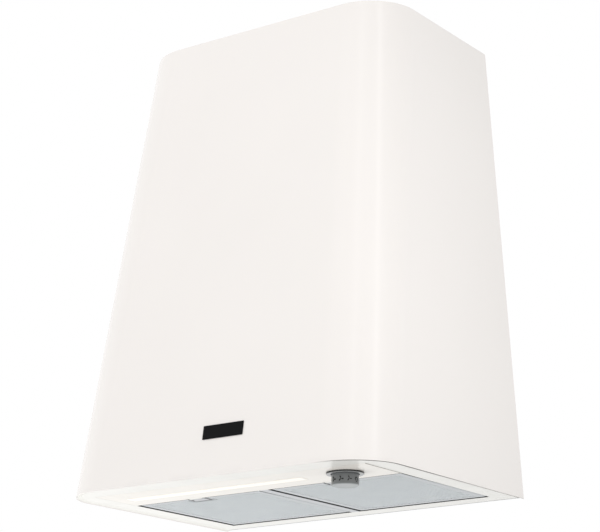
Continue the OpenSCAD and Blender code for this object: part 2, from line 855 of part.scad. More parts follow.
module filter_mesh(x) {
    inset = filter_wall + fit_gap;
    w = filter_w - 2 * inset;
    d = filter_d - 2 * inset;
    cell = [(w - 2 * filter_rim) / net_n, (d - 2 * filter_rim) / net_n];
    gap = [(cell.x - net_strand) / 2, (cell.y - net_strand) / 2];
    color(light_grey) difference() {
        translate([x - w / 2, filter_front + inset, panel_recess + filter_wall])
            linear_extrude(net_t) difference() {
                square([w, d]);
                for (j = [0 : net_n - 1], i = [0 : net_n - 1 - j % 2])
                    translate([filter_rim + (i + (1 + j % 2) / 2) * cell.x, filter_rim + (j + 0.5) * cell.y])
                        polygon([[-gap.x, 0], [0, -gap.y], [gap.x, 0], [0, gap.y]]);
            }
        latch_house(x, fit_gap);
    }
}

module filter_foil(x) {
    color(steel) difference() {
        for (i = [1 : foil_n]) {
            low = filter_wall + net_t + i * foil_pitch - fit_gap;
            filter_block(x, filter_wall + fit_gap, low, low + foil_t);
        }
        latch_house(x, fit_gap);
    }
}

module latch(x) {
    half = latch_w / 2;
    foot = half - latch_ledge;
    groove_r = 5.4;
    groove_drop = 4;
    groove_end = 2;
    color(dark) difference() {
        union() {
            box([x - half, latch_front, panel_recess + latch_foot],
                [x + half, latch_front + latch_d, panel_recess + latch_h]);
            box([x - foot, latch_front, panel_recess],
                [x + foot, latch_front + latch_d, panel_recess + latch_foot + over]);
            box([x - tongue_w / 2, filter_front - tongue_out, tongue_z],
                [x + tongue_w / 2, latch_front + over, tongue_z + tongue_t]);
        }
        along_x([x - foot + groove_end, latch_front + latch_d / 2, panel_recess - groove_drop])
            cylinder(r = groove_r, h = 2 * (foot - groove_end));
        along_y([x, spring_y, spring_z]) cylinder(d = spring_d + spring_wire + 2 * slide_gap, h = latch_d);
    }
}

// Coil spring that lies along y, swept as one tube
module latch_spring(x) {
    wire = spring_wire / 2;
    rings = spring_turns * rings_per_turn;
    run = spring_len - 2 * wire - 2 * fit_gap;
    points = [
        for (i = [0 : rings], k = [0 : ring_sides - 1])
            let (a = 360 * i / rings_per_turn, b = 360 * k / ring_sides, r = spring_d / 2 + wire * cos(b))
            [r * cos(a), run * i / rings + wire * sin(b), r * sin(a)]
    ];
    sides = [
        for (i = [0 : rings - 1], k = [0 : ring_sides - 1], half = [0, 1])
            let (m = (k + 1) % ring_sides, p = i * ring_sides, q = p + ring_sides)
            half == 0 ? [p + k, q + m, p + m] : [p + k, q + k, q + m]
    ];
    color(steel) translate([x, spring_y + wire + fit_gap, spring_z]) polyhedron(
        points = points,
        faces = concat(
            sides,
            [for (k = [1 : ring_sides - 2]) [0, k, k + 1]],
            [for (k = [1 : ring_sides - 2], e = rings * ring_sides) [e, e + k + 1, e + k]]
        )
    );
    echo(spring_gap = run / spring_turns - spring_wire);
}

function spiral_r(a) = scroll_start + (scroll_end - scroll_start) * (a - tongue_a) / (360 - tongue_a);

// Side view of the blower's air passage, grown by extra
module scroll_profile(extra, rise) {
    polygon([
        for (i = [0 : spiral_steps])
            let (a = tongue_a + (360 - tongue_a) * i / spiral_steps, r = spiral_r(a) + extra)
            [r * cos(a), r * sin(a)]
    ]);
    translate([outlet_in - extra, 0]) square([outlet_open + 2 * extra, rise]);
}

module at_ears() {
    for (a = ear_angles) {
        r = spiral_r(a) + scroll_wall + ear_d / 3;
        translate([r * cos(a), r * sin(a), 0]) children();
    }
}

module scroll_half(side) {
    low = side < 0 ? -half_scroll : 0;
    bore_low = side < 0 ? scroll_wall - half_scroll : -over;
    color("#55585c") difference() {
        union() {
            in_blower(low) linear_extrude(half_scroll) scroll_profile(scroll_wall, outlet_rise);
            in_blower(side < 0 ? -ear_t : 0) at_ears() cylinder(d = ear_d, h = ear_t);
            box([side < 0 ? -half_scroll - blower_flange : 0,
                 outlet_y - outlet_open / 2 - scroll_wall - blower_flange / 2, blower_top - blower_flange_t],
                [side < 0 ? 0 : half_scroll + blower_flange,
                 outlet_y + outlet_open / 2 + scroll_wall + blower_flange / 2, blower_top]);
        }
        in_blower(bore_low) linear_extrude(half_scroll - scroll_wall + over)
            scroll_profile(0, outlet_rise + over);
        in_blower(-scroll_w) cylinder(d = inlet_d, h = 2 * scroll_w);
        in_blower(-ear_t) at_ears() translate([0, 0, ear_t]) screw_hole(2 * ear_t);
        for (v = lug_heights) along_x([-scroll_w, lug_y, blower_z + v])
            cylinder(d = screw_d + 2 * run_gap, h = 2 * scroll_w);
        for (s = adapter_spots()) translate([s.x, s.y, blower_top]) screw_hole(screw_len);
        if (side > 0) in_blower(half_scroll) at_bracket_screws() screw_hole(screw_len);
    }
}

module inlet_guard() {
    rib = 2.5;
    guard_t = 3;
    guard_d = inlet_d + 4;
    rings = 3;
    color(dark) in_blower(-half_scroll - guard_t) linear_extrude(guard_t) {
        for (i = [1 : rings]) difference() {
            circle(d = guard_d * i / rings + 2 * rib);
            circle(d = guard_d * i / rings - 2 * rib);
        }
        for (a = [0 : 60 : 120]) rotate(a) square([guard_d, rib], center = true);
    }
}

function blade_side(side) = [
    for (i = [0 : blade_steps])
        let (
            t = side > 0 ? i / blade_steps : 1 - i / blade_steps,
            r = wheel_d / 2 - blade_in - blade_d * (1 - t),
            a = blade_sweep * t * t + side * asin(blade_t / 2 / r)
        )
        [r * cos(a), r * sin(a)]
];

module impeller() {
    disc_t = 2;
    ring_t = 2;
    rim = 1;
    color("#3f5f7f") difference() {
        union() {
            in_blower(-disc_t / 2) cylinder(d = wheel_d - 2 * rim, h = disc_t);
            in_blower(-hub_len) cylinder(d = hub_d, h = hub_len);
            for (x = [-wheel_w / 2, wheel_w / 2 - ring_t])
                in_blower(x) ring(wheel_d, wheel_d - 2 * (blade_d + rim), ring_t);
            in_blower(-wheel_w / 2 + ring_t / 2) linear_extrude(wheel_w - ring_t)
                for (i = [0 : blade_n - 1]) rotate(360 * i / blade_n)
                    polygon(concat(blade_side(1), blade_side(-1)));
        }
        in_blower(-scroll_w) cylinder(d = shaft_d, h = 2 * scroll_w);
    }
}

module motor_shaft() {
    low = -hub_len - 2 * shaft_clear;
    color(steel) in_blower(low) cylinder(d = shaft_d, h = half_scroll - shaft_clear - low);
}

module rotor() {
    color("#8c8f92") in_blower(core_x) ring(rotor_d, shaft_d, core_len);
}

module stator() {
    winding = 5;
    winding_in = 4;
    inner = rotor_d + 2 * air_gap;
    outer = motor_d - 2 * can_wall - 2 * fit_gap;
    color("#b8793a") in_blower(core_x) {
        ring(outer, inner, core_len);
        translate([0, 0, -winding])
            ring(outer - 2 * winding_in, inner + 2 * winding_in, core_len + 2 * winding);
    }
}

module bearing_seat(length) {
    seat_wall = 3;
    ring(bearing_d + 2 * seat_wall, bearing_d + 2 * run_gap, length);
}

module motor_can() {
    color(steel) in_blower(motor_x) {
        difference() {
            cylinder(d = motor_d, h = motor_len - cap_t);
            translate([0, 0, can_wall]) cylinder(d = motor_d - 2 * can_wall, h = motor_len);
            translate([0, 0, -over]) cylinder(d = shaft_d + 2 * shaft_clear, h = can_wall + 2 * over);
        }
        translate([0, 0, can_wall / 2]) bearing_seat(bearing_w + can_wall / 2);
    }
}

module motor_cap() {
    color(steel) difference() {
        in_blower(half_scroll - cap_t) {
            ring(motor_d, shaft_d + 2 * shaft_clear, cap_t);
            translate([0, 0, -bearing_w]) bearing_seat(bearing_w + cap_t / 2);
        }
        in_blower(half_scroll) at_motor_screws() screw_hole(cap_t + over);
    }
}

module motor_bearings() {
    inner = shaft_d + 2 * run_gap;
    color("#d0d2d4") {
        in_blower(motor_x + can_wall) ring(bearing_d, inner, bearing_w);
        in_blower(half_scroll - cap_t - bearing_w) ring(bearing_d, inner, bearing_w);
    }
}

module at_motor_screws() {
    for (a = arm_angles) rotate(a) translate([motor_screw_r, 0, 0]) children();
}

module at_bracket_screws() {
    for (a = arm_angles) rotate(a) translate([bracket_screw_r, 0, 0]) children();
}

module motor_bracket() {
    plate_in = 3;
    arm_w = 14;
    arm_end = 6;
    color(steel) in_blower(half_scroll) difference() {
        linear_extrude(motor_plate_t) {
            circle(d = motor_d - 2 * plate_in);
            for (a = arm_angles)
                rotate(a) translate([0, -arm_w / 2]) square([bracket_screw_r + arm_end, arm_w]);
        }
        translate([0, 0, -over]) cylinder(d = shaft_d + 2 * plate_in, h = motor_plate_t + 2 * over);
        translate([0, 0, motor_plate_t]) at_motor_screws() screw_hole(2 * motor_plate_t);
        translate([0, 0, motor_plate_t]) at_bracket_screws() screw_hole(2 * motor_plate_t);
    }
}

module blower_bracket(side) {
    near = half_scroll + mount_len;
    far = near + bracket_t;
    lug_edge = 4;
    lug_rim = mount_d / 2 + lug_edge;
    low = blower_z + bracket_low;
    high = blower_z + bracket_high;
    color(steel) mirror([side < 0 ? 1 : 0, 0, 0]) difference() {
        union() {
            box([near, lug_y - lug_rim, low], [far, -back_t, high]);
            box([near, -back_t - bracket_t, low], [far + bracket_flange, -back_t, high]);
        }
        for (v = lug_heights) along_x([near - over, lug_y, blower_z + v])
            cylinder(d = screw_d + 2 * run_gap, h = bracket_t + 2 * over);
        for (s = bracket_spots()) along_y([s.x, -back_t, s.y]) screw_hole(screw_len);
    }
}

module rubber_mounts() {
    color(dark) for (x = [-half_scroll - mount_len, half_scroll], v = lug_heights)
        along_x([x, lug_y, blower_z + v]) ring(mount_d, screw_d + 2 * run_gap, mount_len);
}

module blower_screws() {
    reach = half_scroll + mount_len + bracket_t;
    length = bracket_t + mount_len + scroll_wall;
    color(steel) {
        for (v = lug_heights) {
            along_x([reach, lug_y, blower_z + v]) screw(length);
            mirror([1, 0, 0]) along_x([reach, lug_y, blower_z + v]) screw(length);
        }
        for (s = bracket_spots()) along_y([s.x, -back_t - bracket_t, s.y]) mirror([0, 0, 1])
            screw(back_t + bracket_t - fit_gap);
        in_blower(ear_t) at_ears() screw(2 * ear_t);
        in_blower(half_scroll + motor_plate_t) {
            at_motor_screws() screw(motor_plate_t + cap_t - fit_gap);
            at_bracket_screws() screw(motor_plate_t + scroll_wall);
        }
    }
}

module outlet_adapter() {
    inner = [half_scroll - scroll_wall, outlet_open / 2];
    outer = [half_scroll, outlet_open / 2 + scroll_wall];
    flange = [outer.x + blower_flange, outer.y + blower_flange / 2];
    throat_in = 1;
    cone_sides = 32;
    color("#55585c") translate([0, outlet_y, 0]) difference() {
        union() {
            hull() {
                box([-outer.x, -outer.y, blower_top], [outer.x, outer.y, blower_top + adapter_lip]);
                translate([0, 0, top_z - adapter_lip])
                    cylinder(r = bore_r + duct_wall, h = adapter_lip, $fn = cone_sides);
            }
            box([-flange.x, -flange.y, blower_top], [flange.x, flange.y, blower_top + blower_flange_t]);
            translate([0, 0, top_z - adapter_lip]) cylinder(r = duct_r + duct_flange, h = adapter_lip);
        }
        hull() {
            box([-inner.x, -inner.y, blower_top - over], [inner.x, inner.y, blower_top + adapter_lip]);
            translate([0, 0, top_z - adapter_lip])
                cylinder(r = bore_r - throat_in, h = adapter_lip + over, $fn = cone_sides);
        }
        for (s = adapter_spots()) translate([s.x, s.y - outlet_y, blower_top]) screw_hole(screw_len);
        for (s = collar_spots()) translate([s.x, s.y - outlet_y, top_z]) screw_hole(screw_len);
    }
}

// Flat ring that is screwed to the top cover and carries the duct collar
module collar_flange() {
    color("#3a3c3f") translate([0, outlet_y, top_z + sheet_t]) difference() {
        ring(2 * (duct_r + duct_flange), 2 * bore_r, duct_flange_t);
        for (s = collar_spots()) translate([s.x, s.y - outlet_y, duct_flange_t]) screw_hole(screw_len);
    }
}

module outlet_collar() {
    ledge_top = flap_z - flap_t / 2 - run_gap;
    color("#3a3c3f") translate([0, outlet_y, 0]) difference() {
        union() {
            translate([0, 0, top_z + sheet_t + duct_flange_t])
                ring(duct_d, 2 * bore_r, duct_h - duct_flange_t);
            translate([0, 0, ledge_top - ledge_t])
                ring(2 * bore_r + duct_wall, 2 * (bore_r - ledge_w), ledge_t);
        }
        along_x([-duct_d, 0, flap_z]) cylinder(d = flap_pin_d + 2 * run_gap, h = 2 * duct_d);
    }
}

module flap_pin() {
    color(steel) along_x([pin_in - duct_r, outlet_y, flap_z])
        cylinder(d = flap_pin_d, h = duct_d - 2 * pin_in);
}

// One half-round flap: side is 1 towards the wall and -1 towards the front
module flap(side) {
    places = side > 0 ? rear_knuckles : front_knuckles;
    color("#77797c") translate([0, outlet_y, flap_z]) mirror([0, side < 0 ? 1 : 0, 0]) difference() {
        union() {
            intersection() {
                translate([0, 0, -flap_t / 2]) cylinder(r = flap_r, h = flap_t);
                box([-flap_r, flap_clear, -flap_t], [flap_r, flap_r, flap_t]);
            }
            for (x = places) {
                along_x([x, 0, 0]) cylinder(d = knuckle_d, h = knuckle_len);
                box([x, 0, -flap_t / 2], [x + knuckle_len, flap_clear + over, flap_t / 2]);
            }
        }
        along_x([-duct_r, 0, 0]) cylinder(d = flap_pin_d + 2 * run_gap, h = duct_d);
    }
}

module outlet_screws() {
    color(steel) {
        for (s = collar_spots()) translate([s.x, s.y, top_z + sheet_t + duct_flange_t])
            screw(sheet_t + duct_flange_t + adapter_lip);
        for (s = adapter_spots()) translate([s.x, s.y, blower_top + blower_flange_t])
            screw(2 * blower_flange_t);
    }
}

// Corner posts of the control box, in the box's own width and height
module at_box_posts() {
    for (x = [box_x + corner_post / 2, box_x + box_w - corner_post / 2],
         z = [box_z + corner_post / 2, box_z + box_h - corner_post / 2])
        translate([x, 0, z]) children();
}

module at_board_posts() {
    half = [box_w / 2 - board_post_in, box_h / 2 - board_post_in];
    for (sx = [-1, 1], sz = [-1, 1])
        translate([box_mid_x + sx * half.x, 0, box_mid_z + sz * half.y]) children();
}

module control_box() {
    color("#dfe1e2") difference() {
        union() {
            difference() {
                box([box_x, lid_y, box_z], [box_x + box_w, -back_t, box_z + box_h]);
                box([box_x + box_wall, lid_y - over, box_z + box_wall],
                    [box_x + box_w - box_wall, -back_t - box_wall, box_z + box_h - box_wall]);
            }
            at_box_posts() along_y([0, lid_y, 0]) cylinder(d = corner_post, h = box_d);
            at_board_posts() along_y([0, board_y, 0]) cylinder(d = board_post_d, h = post_h + box_wall);
            for (s = box_ear_spots()) along_y([s.x, -back_t - box_wall, s.y])
                translate([-corner_post, -corner_post, 0]) cube([2 * corner_post, 2 * corner_post, box_wall]);
        }
        box([box_x + box_wall, lid_y + over, box_mid_z - corner_post],
            [box_x + box_w - box_wall, -back_t - box_wall, box_mid_z + corner_post]);
        at_box_posts() along_y([0, lid_y, 0]) screw_hole(screw_len);
        for (s = box_ear_spots()) along_y([s.x, -back_t - box_wall, s.y]) screw_hole(screw_len);
    }
}

module control_box_lid() {
    color("#dfe1e2") difference() {
        box([box_x, lid_y - box_wall, box_z], [box_x + box_w, lid_y, box_z + box_h]);
        at_box_posts() along_y([0, lid_y, 0]) screw_hole(screw_len);
    }
}

module box_screws() {
    color(steel) {
        at_box_posts() along_y([0, lid_y - box_wall, 0]) mirror([0, 0, 1]) screw(screw_len);
        for (s = box_ear_spots()) along_y([s.x, -back_t - box_wall, s.y]) mirror([0, 0, 1])
            screw(back_t + box_wall - fit_gap);
    }
}

module circuit_board() {
    edge = 12;
    color("#2f6b45") box([box_x + edge, board_y - board_t, box_z + edge],
        [box_x + box_w - edge, board_y, box_z + box_h - edge]);
}

module capacitor() {
    can_d = 24;
    can_len = 46;
    can_in = 18;
    can_drop = 28;
    color("#d8d4c8") along_x([box_x + can_in, board_y - board_t - can_d / 2, box_z + box_h - can_drop])
        cylinder(d = can_d, h = can_len);
}

module transformer() {
    block = [32, 24, 28];
    place = [18, 16];
    color("#3a3d44") translate([box_x + place.x, board_y - board_t - block.y, box_z + place.y]) cube(block);
}

module terminal_block() {
    poles = 5;
    pitch = 7;
    block = [poles * pitch, 14, 12];
    place = [56, 18];
    bore_d = 4;
    bore_depth = 4;
    color("#3f7f52") translate([box_x + place.x, board_y - board_t - block.y, box_z + place.y]) difference() {
        cube(block);
        for (i = [0 : poles - 1]) along_y([(i + 1 / 2) * pitch, -over, block.z / 2])
            cylinder(d = bore_d, h = bore_depth + over);
    }
}

module cable_gland() {
    thread_h = 9;
    nut_h = 5;
    base_h = 6;
    cap_h = 9;
    hex_d = gland_d + 8;
    cap_d = gland_d + 3;
    height = thread_h + sheet_t + base_h + cap_h;
    color(dark) translate([gland_x, -gland_out, top_z]) difference() {
        union() {
            translate([0, 0, -thread_h]) cylinder(d = gland_d, h = height);
            translate([0, 0, -nut_h]) cylinder(d = hex_d, h = nut_h, $fn = 6);
            translate([0, 0, sheet_t]) cylinder(d = hex_d, h = base_h, $fn = 6);
            translate([0, 0, sheet_t + base_h - over]) cylinder(d = cap_d, h = cap_h + over);
        }
        translate([0, 0, -thread_h - over]) cylinder(d = gland_bore, h = height + 2 * over);
    }
}

function unit(v) = v / norm(v);

// Route with each corner rounded off over the bend's length, or half the shorter run beside it
function rounded(route) = concat(
    [route[0]],
    [
        for (i = [1 : len(route) - 2])
            let (
                before = route[i - 1] - route[i],
                after = route[i + 1] - route[i],
                r = min(lead_bend, bend_share * norm(before), bend_share * norm(after))
            )
            for (k = [0 : bend_steps])
                let (t = k / bend_steps)
                route[i] + r * ((1 - t) * (1 - t) * unit(before) + t * t * unit(after))
    ],
    [route[len(route) - 1]]
);

// Directions across a line of points, carried along it without twist
function across(line, i, side) =
    i == len(line) ? [] :
    let (
        ahead = unit(line[min(i + 1, len(line) - 1)] - line[max(i - 1, 0)]),
        flat = unit(side - (side * ahead) * ahead)
    )
    concat([[flat, cross(ahead, flat)]], across(line, i + 1, flat));

module lead(route) {
    line = rounded(route);
    frames = across(line, 0, [0, 1, 0]);
    n = len(line);
    points = [
        for (i = [0 : n - 1], k = [0 : lead_sides - 1])
            let (a = 360 * k / lead_sides)
            line[i] + lead_d / 2 * (cos(a) * frames[i][0] + sin(a) * frames[i][1])
    ];
    sides = [
        for (i = [0 : n - 2], k = [0 : lead_sides - 1], half = [0, 1])
            let (m = (k + 1) % lead_sides, p = i * lead_sides, q = p + lead_sides)
            half == 0 ? [p + k, q + m, p + m] : [p + k, q + k, q + m]
    ];
    last = (n - 1) * lead_sides;
    polyhedron(points = points, faces = concat(
        sides,
        [for (k = [1 : lead_sides - 2]) [0, k, k + 1]],
        [for (k = [1 : lead_sides - 2]) [last, last + k + 1, last + k]]
    ));
}

module inner_leads() {
    color(dark) for (route = [lamp_route, switch_route, motor_route]) lead(route);
}

// Flush screws that hold the back plate to the casing and to the top cover
module casing_screws() {
    color(steel) for (s = concat(flange_spots(), cover_spots())) along_y([s.x, 0, s.y]) {
        translate([0, 0, -back_t]) cylinder(d = head_d, h = back_t);
        translate([0, 0, -screw_len]) cylinder(d = screw_d, h = screw_len);
    }
}

module panel_screws() {
    tip = 2;
    color(steel) for (s = panel_spots()) translate([s.x * (panel_half - sheet_t), s.y, s.z])
        rotate([0, -s.x * 90, 0]) screw(2 * sheet_t + seam_gap + tip);
}

hung() casing();
hung() back_plate();
hung() top_cover();
hung() bottom_frame();
hung() control_panel();
hung() center_bar();
hung() badge();
hung() lamp_lens();
hung() lamp_housing();
hung() lamp_board();
hung() led_chips();
hung() lamp_nuts();
hung() knob();
hung() knob_collar();
hung() switch_spindle();
hung() rotary_switch();
hung() switch_nut();
hung() filter_frame(-filter_x);  // filter_left_frame
hung() filter_mesh(-filter_x);  // filter_left_mesh
hung() filter_foil(-filter_x);  // filter_left_foil
hung() latch(-filter_x - latch_shift);  // latch_left
hung() latch_spring(-filter_x - latch_shift);  // latch_left_spring
hung() filter_frame(filter_x);  // filter_right_frame
hung() filter_mesh(filter_x);  // filter_right_mesh
hung() filter_foil(filter_x);  // filter_right_foil
hung() latch(filter_x - latch_shift);  // latch_right
hung() latch_spring(filter_x - latch_shift);  // latch_right_spring
hung() scroll_half(-1);  // scroll_left
hung() scroll_half(1);  // scroll_right
hung() inlet_guard();
hung() impeller();
hung() motor_shaft();
hung() rotor();
hung() stator();
hung() motor_can();
hung() motor_cap();
hung() motor_bearings();
hung() motor_bracket();
hung() blower_bracket(-1);  // blower_bracket_left
hung() blower_bracket(1);  // blower_bracket_right
hung() rubber_mounts();
hung() outlet_adapter();
hung() collar_flange();
hung() outlet_collar();
hung() flap_pin();
hung() flap(1);  // flap_rear
hung() flap(-1);  // flap_front
hung() control_box();
hung() control_box_lid();
hung() circuit_board();
hung() capacitor();
hung() transformer();
hung() terminal_block();
hung() cable_gland();
hung() inner_leads();
hung() casing_screws();
hung() panel_screws();
hung() blower_screws();
hung() outlet_screws();
hung() box_screws();
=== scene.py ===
"""The looks of a wall-mounted cooker hood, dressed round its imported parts.

Lengths are in metres, in the parts' own frame: +X to the right as seen from the front, +Y into the wall
and +Z up, with the origin in the middle of the four wall holes.
"""

import json
import logging
import math
from dataclasses import dataclass, field
from enum import Enum
from typing import Any, ClassVar, Optional, Sequence, Union

import bmesh
import bpy
import numpy as np
from mathutils import Matrix, Vector


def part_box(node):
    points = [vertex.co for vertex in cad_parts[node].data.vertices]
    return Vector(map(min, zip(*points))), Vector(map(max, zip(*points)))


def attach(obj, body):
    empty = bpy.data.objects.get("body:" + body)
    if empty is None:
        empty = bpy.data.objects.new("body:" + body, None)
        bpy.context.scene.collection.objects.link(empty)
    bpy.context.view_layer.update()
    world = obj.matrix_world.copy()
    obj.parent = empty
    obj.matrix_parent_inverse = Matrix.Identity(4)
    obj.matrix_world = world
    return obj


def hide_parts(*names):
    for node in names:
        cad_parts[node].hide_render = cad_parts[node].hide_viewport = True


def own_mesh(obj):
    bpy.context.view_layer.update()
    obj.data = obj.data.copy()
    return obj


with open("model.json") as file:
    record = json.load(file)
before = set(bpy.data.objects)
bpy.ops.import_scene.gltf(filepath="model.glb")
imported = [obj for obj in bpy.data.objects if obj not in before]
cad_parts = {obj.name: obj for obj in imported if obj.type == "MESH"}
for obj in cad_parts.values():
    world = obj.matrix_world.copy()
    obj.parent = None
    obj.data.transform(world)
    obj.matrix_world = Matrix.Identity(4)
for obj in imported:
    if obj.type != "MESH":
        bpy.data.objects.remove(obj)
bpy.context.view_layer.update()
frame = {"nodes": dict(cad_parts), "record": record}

log = logging.getLogger("hood")

MM = 0.001
EDGE_HEIGHT = 445.0    # from the casing's lower edge up to the origin, in millimetres
EDGE_Z = -EDGE_HEIGHT * MM
FACE_Z = EDGE_Z + 0.002    # the underside's lower face

Color = tuple[float, float, float, float]
Outline = list[tuple[float, float]]
Input = Union["Wire", float, int, Sequence[float], Any]


def mm(x: float, y: float, z: float) -> Vector:
    """Gives a point of the frame.

    Args:
        x: Millimetres to the right of the middle.
        y: Millimetres from the wall, negative to the front.
        z: Millimetres above the casing's lower edge.

    Returns:
        The same point in metres in the parts' frame.
    """
    return Vector((x * MM, y * MM, (z - EDGE_HEIGHT) * MM))


def tone(red: int, green: int, blue: int) -> Color:
    """Turns a colour as seen on a screen into the linear one that shaders take.

    Args:
        red: Red from 0 to 255.
        green: Green from 0 to 255.
        blue: Blue from 0 to 255.

    Returns:
        The linear colour with full cover.
    """
    parts = [value / 255 for value in (red, green, blue)]
    linear = [p / 12.92 if p <= 0.04045 else ((p + 0.055) / 1.055) ** 2.4 for p in parts]
    return (linear[0], linear[1], linear[2], 1.0)


def scaled(color: Color, share: float) -> Color:
    """Makes a colour darker or lighter by a share, kept below full white."""
    return tuple(min(c * share, 0.98) for c in color[:3]) + (1.0,)


# Near-black painted shade for the walls that face the gaps beside the filters.
GAP_SHADE_COAT: Color = (0.012, 0.012, 0.012, 1.0)
WHITE: Color = (1.0, 1.0, 1.0, 1.0)


class Wire:
    """An output socket of a node that can stand in sums, products and quotients."""

    def __init__(self, graph: "Graph", socket: bpy.types.NodeSocket) -> None:
        """Keeps the socket and the graph that it belongs to."""
        self.graph = graph
        self.socket = socket

    def pick(self, name: str) -> "Wire":
        """Takes another output of the same node."""
        return Wire(self.graph, self.socket.node.outputs[name])

    def _math(self, operation: str, first: Input, second: Input) -> "Wire":
        """Joins two values with one Math node."""
        return self.graph.node("ShaderNodeMath", {"operation": operation}, {0: first, 1: second})

    def __add__(self, other: Input) -> "Wire":
        """Adds."""
        return self._math("ADD", self, other)

    def __radd__(self, other: Input) -> "Wire":
        """Adds, with the plain number first."""
        return self._math("ADD", other, self)

    def __sub__(self, other: Input) -> "Wire":
        """Takes away."""
        return self._math("SUBTRACT", self, other)

    def __rsub__(self, other: Input) -> "Wire":
        """Takes away from a plain number."""
        return self._math("SUBTRACT", other, self)

    def __mul__(self, other: Input) -> "Wire":
        """Multiplies."""
        return self._math("MULTIPLY", self, other)

    def __rmul__(self, other: Input) -> "Wire":
        """Multiplies, with the plain number first."""
        return self._math("MULTIPLY", other, self)

    def __truediv__(self, other: Input) -> "Wire":
        """Divides."""
        return self._math("DIVIDE", self, other)

    def __rtruediv__(self, other: Input) -> "Wire":
        """Divides a plain number."""
        return self._math("DIVIDE", other, self)

    def __pow__(self, other: Input) -> "Wire":
        """Raises to a power."""
        return self._math("POWER", self, other)

    def larger(self, other: Input) -> "Wire":
        """Takes the larger of two values."""
        return self._math("MAXIMUM", self, other)

    def smaller(self, other: Input) -> "Wire":
        """Takes the smaller of two values."""
        return self._math("MINIMUM", self, other)

    def size(self) -> "Wire":
        """Takes the value without its sign."""
        return self._math("ABSOLUTE", self, 0.0)

    def sine(self) -> "Wire":
        """Takes the sine."""
        return self._math("SINE", self, 0.0)

    def step(self, low: float, high: float) -> "Wire":
        """Rises smoothly from 0 at low to 1 at high."""
        settings = {"interpolation_type": "SMOOTHSTEP"}
        return self.graph.node("ShaderNodeMapRange", settings, {0: self, 1: low, 2: high, 3: 0.0, 4: 1.0})


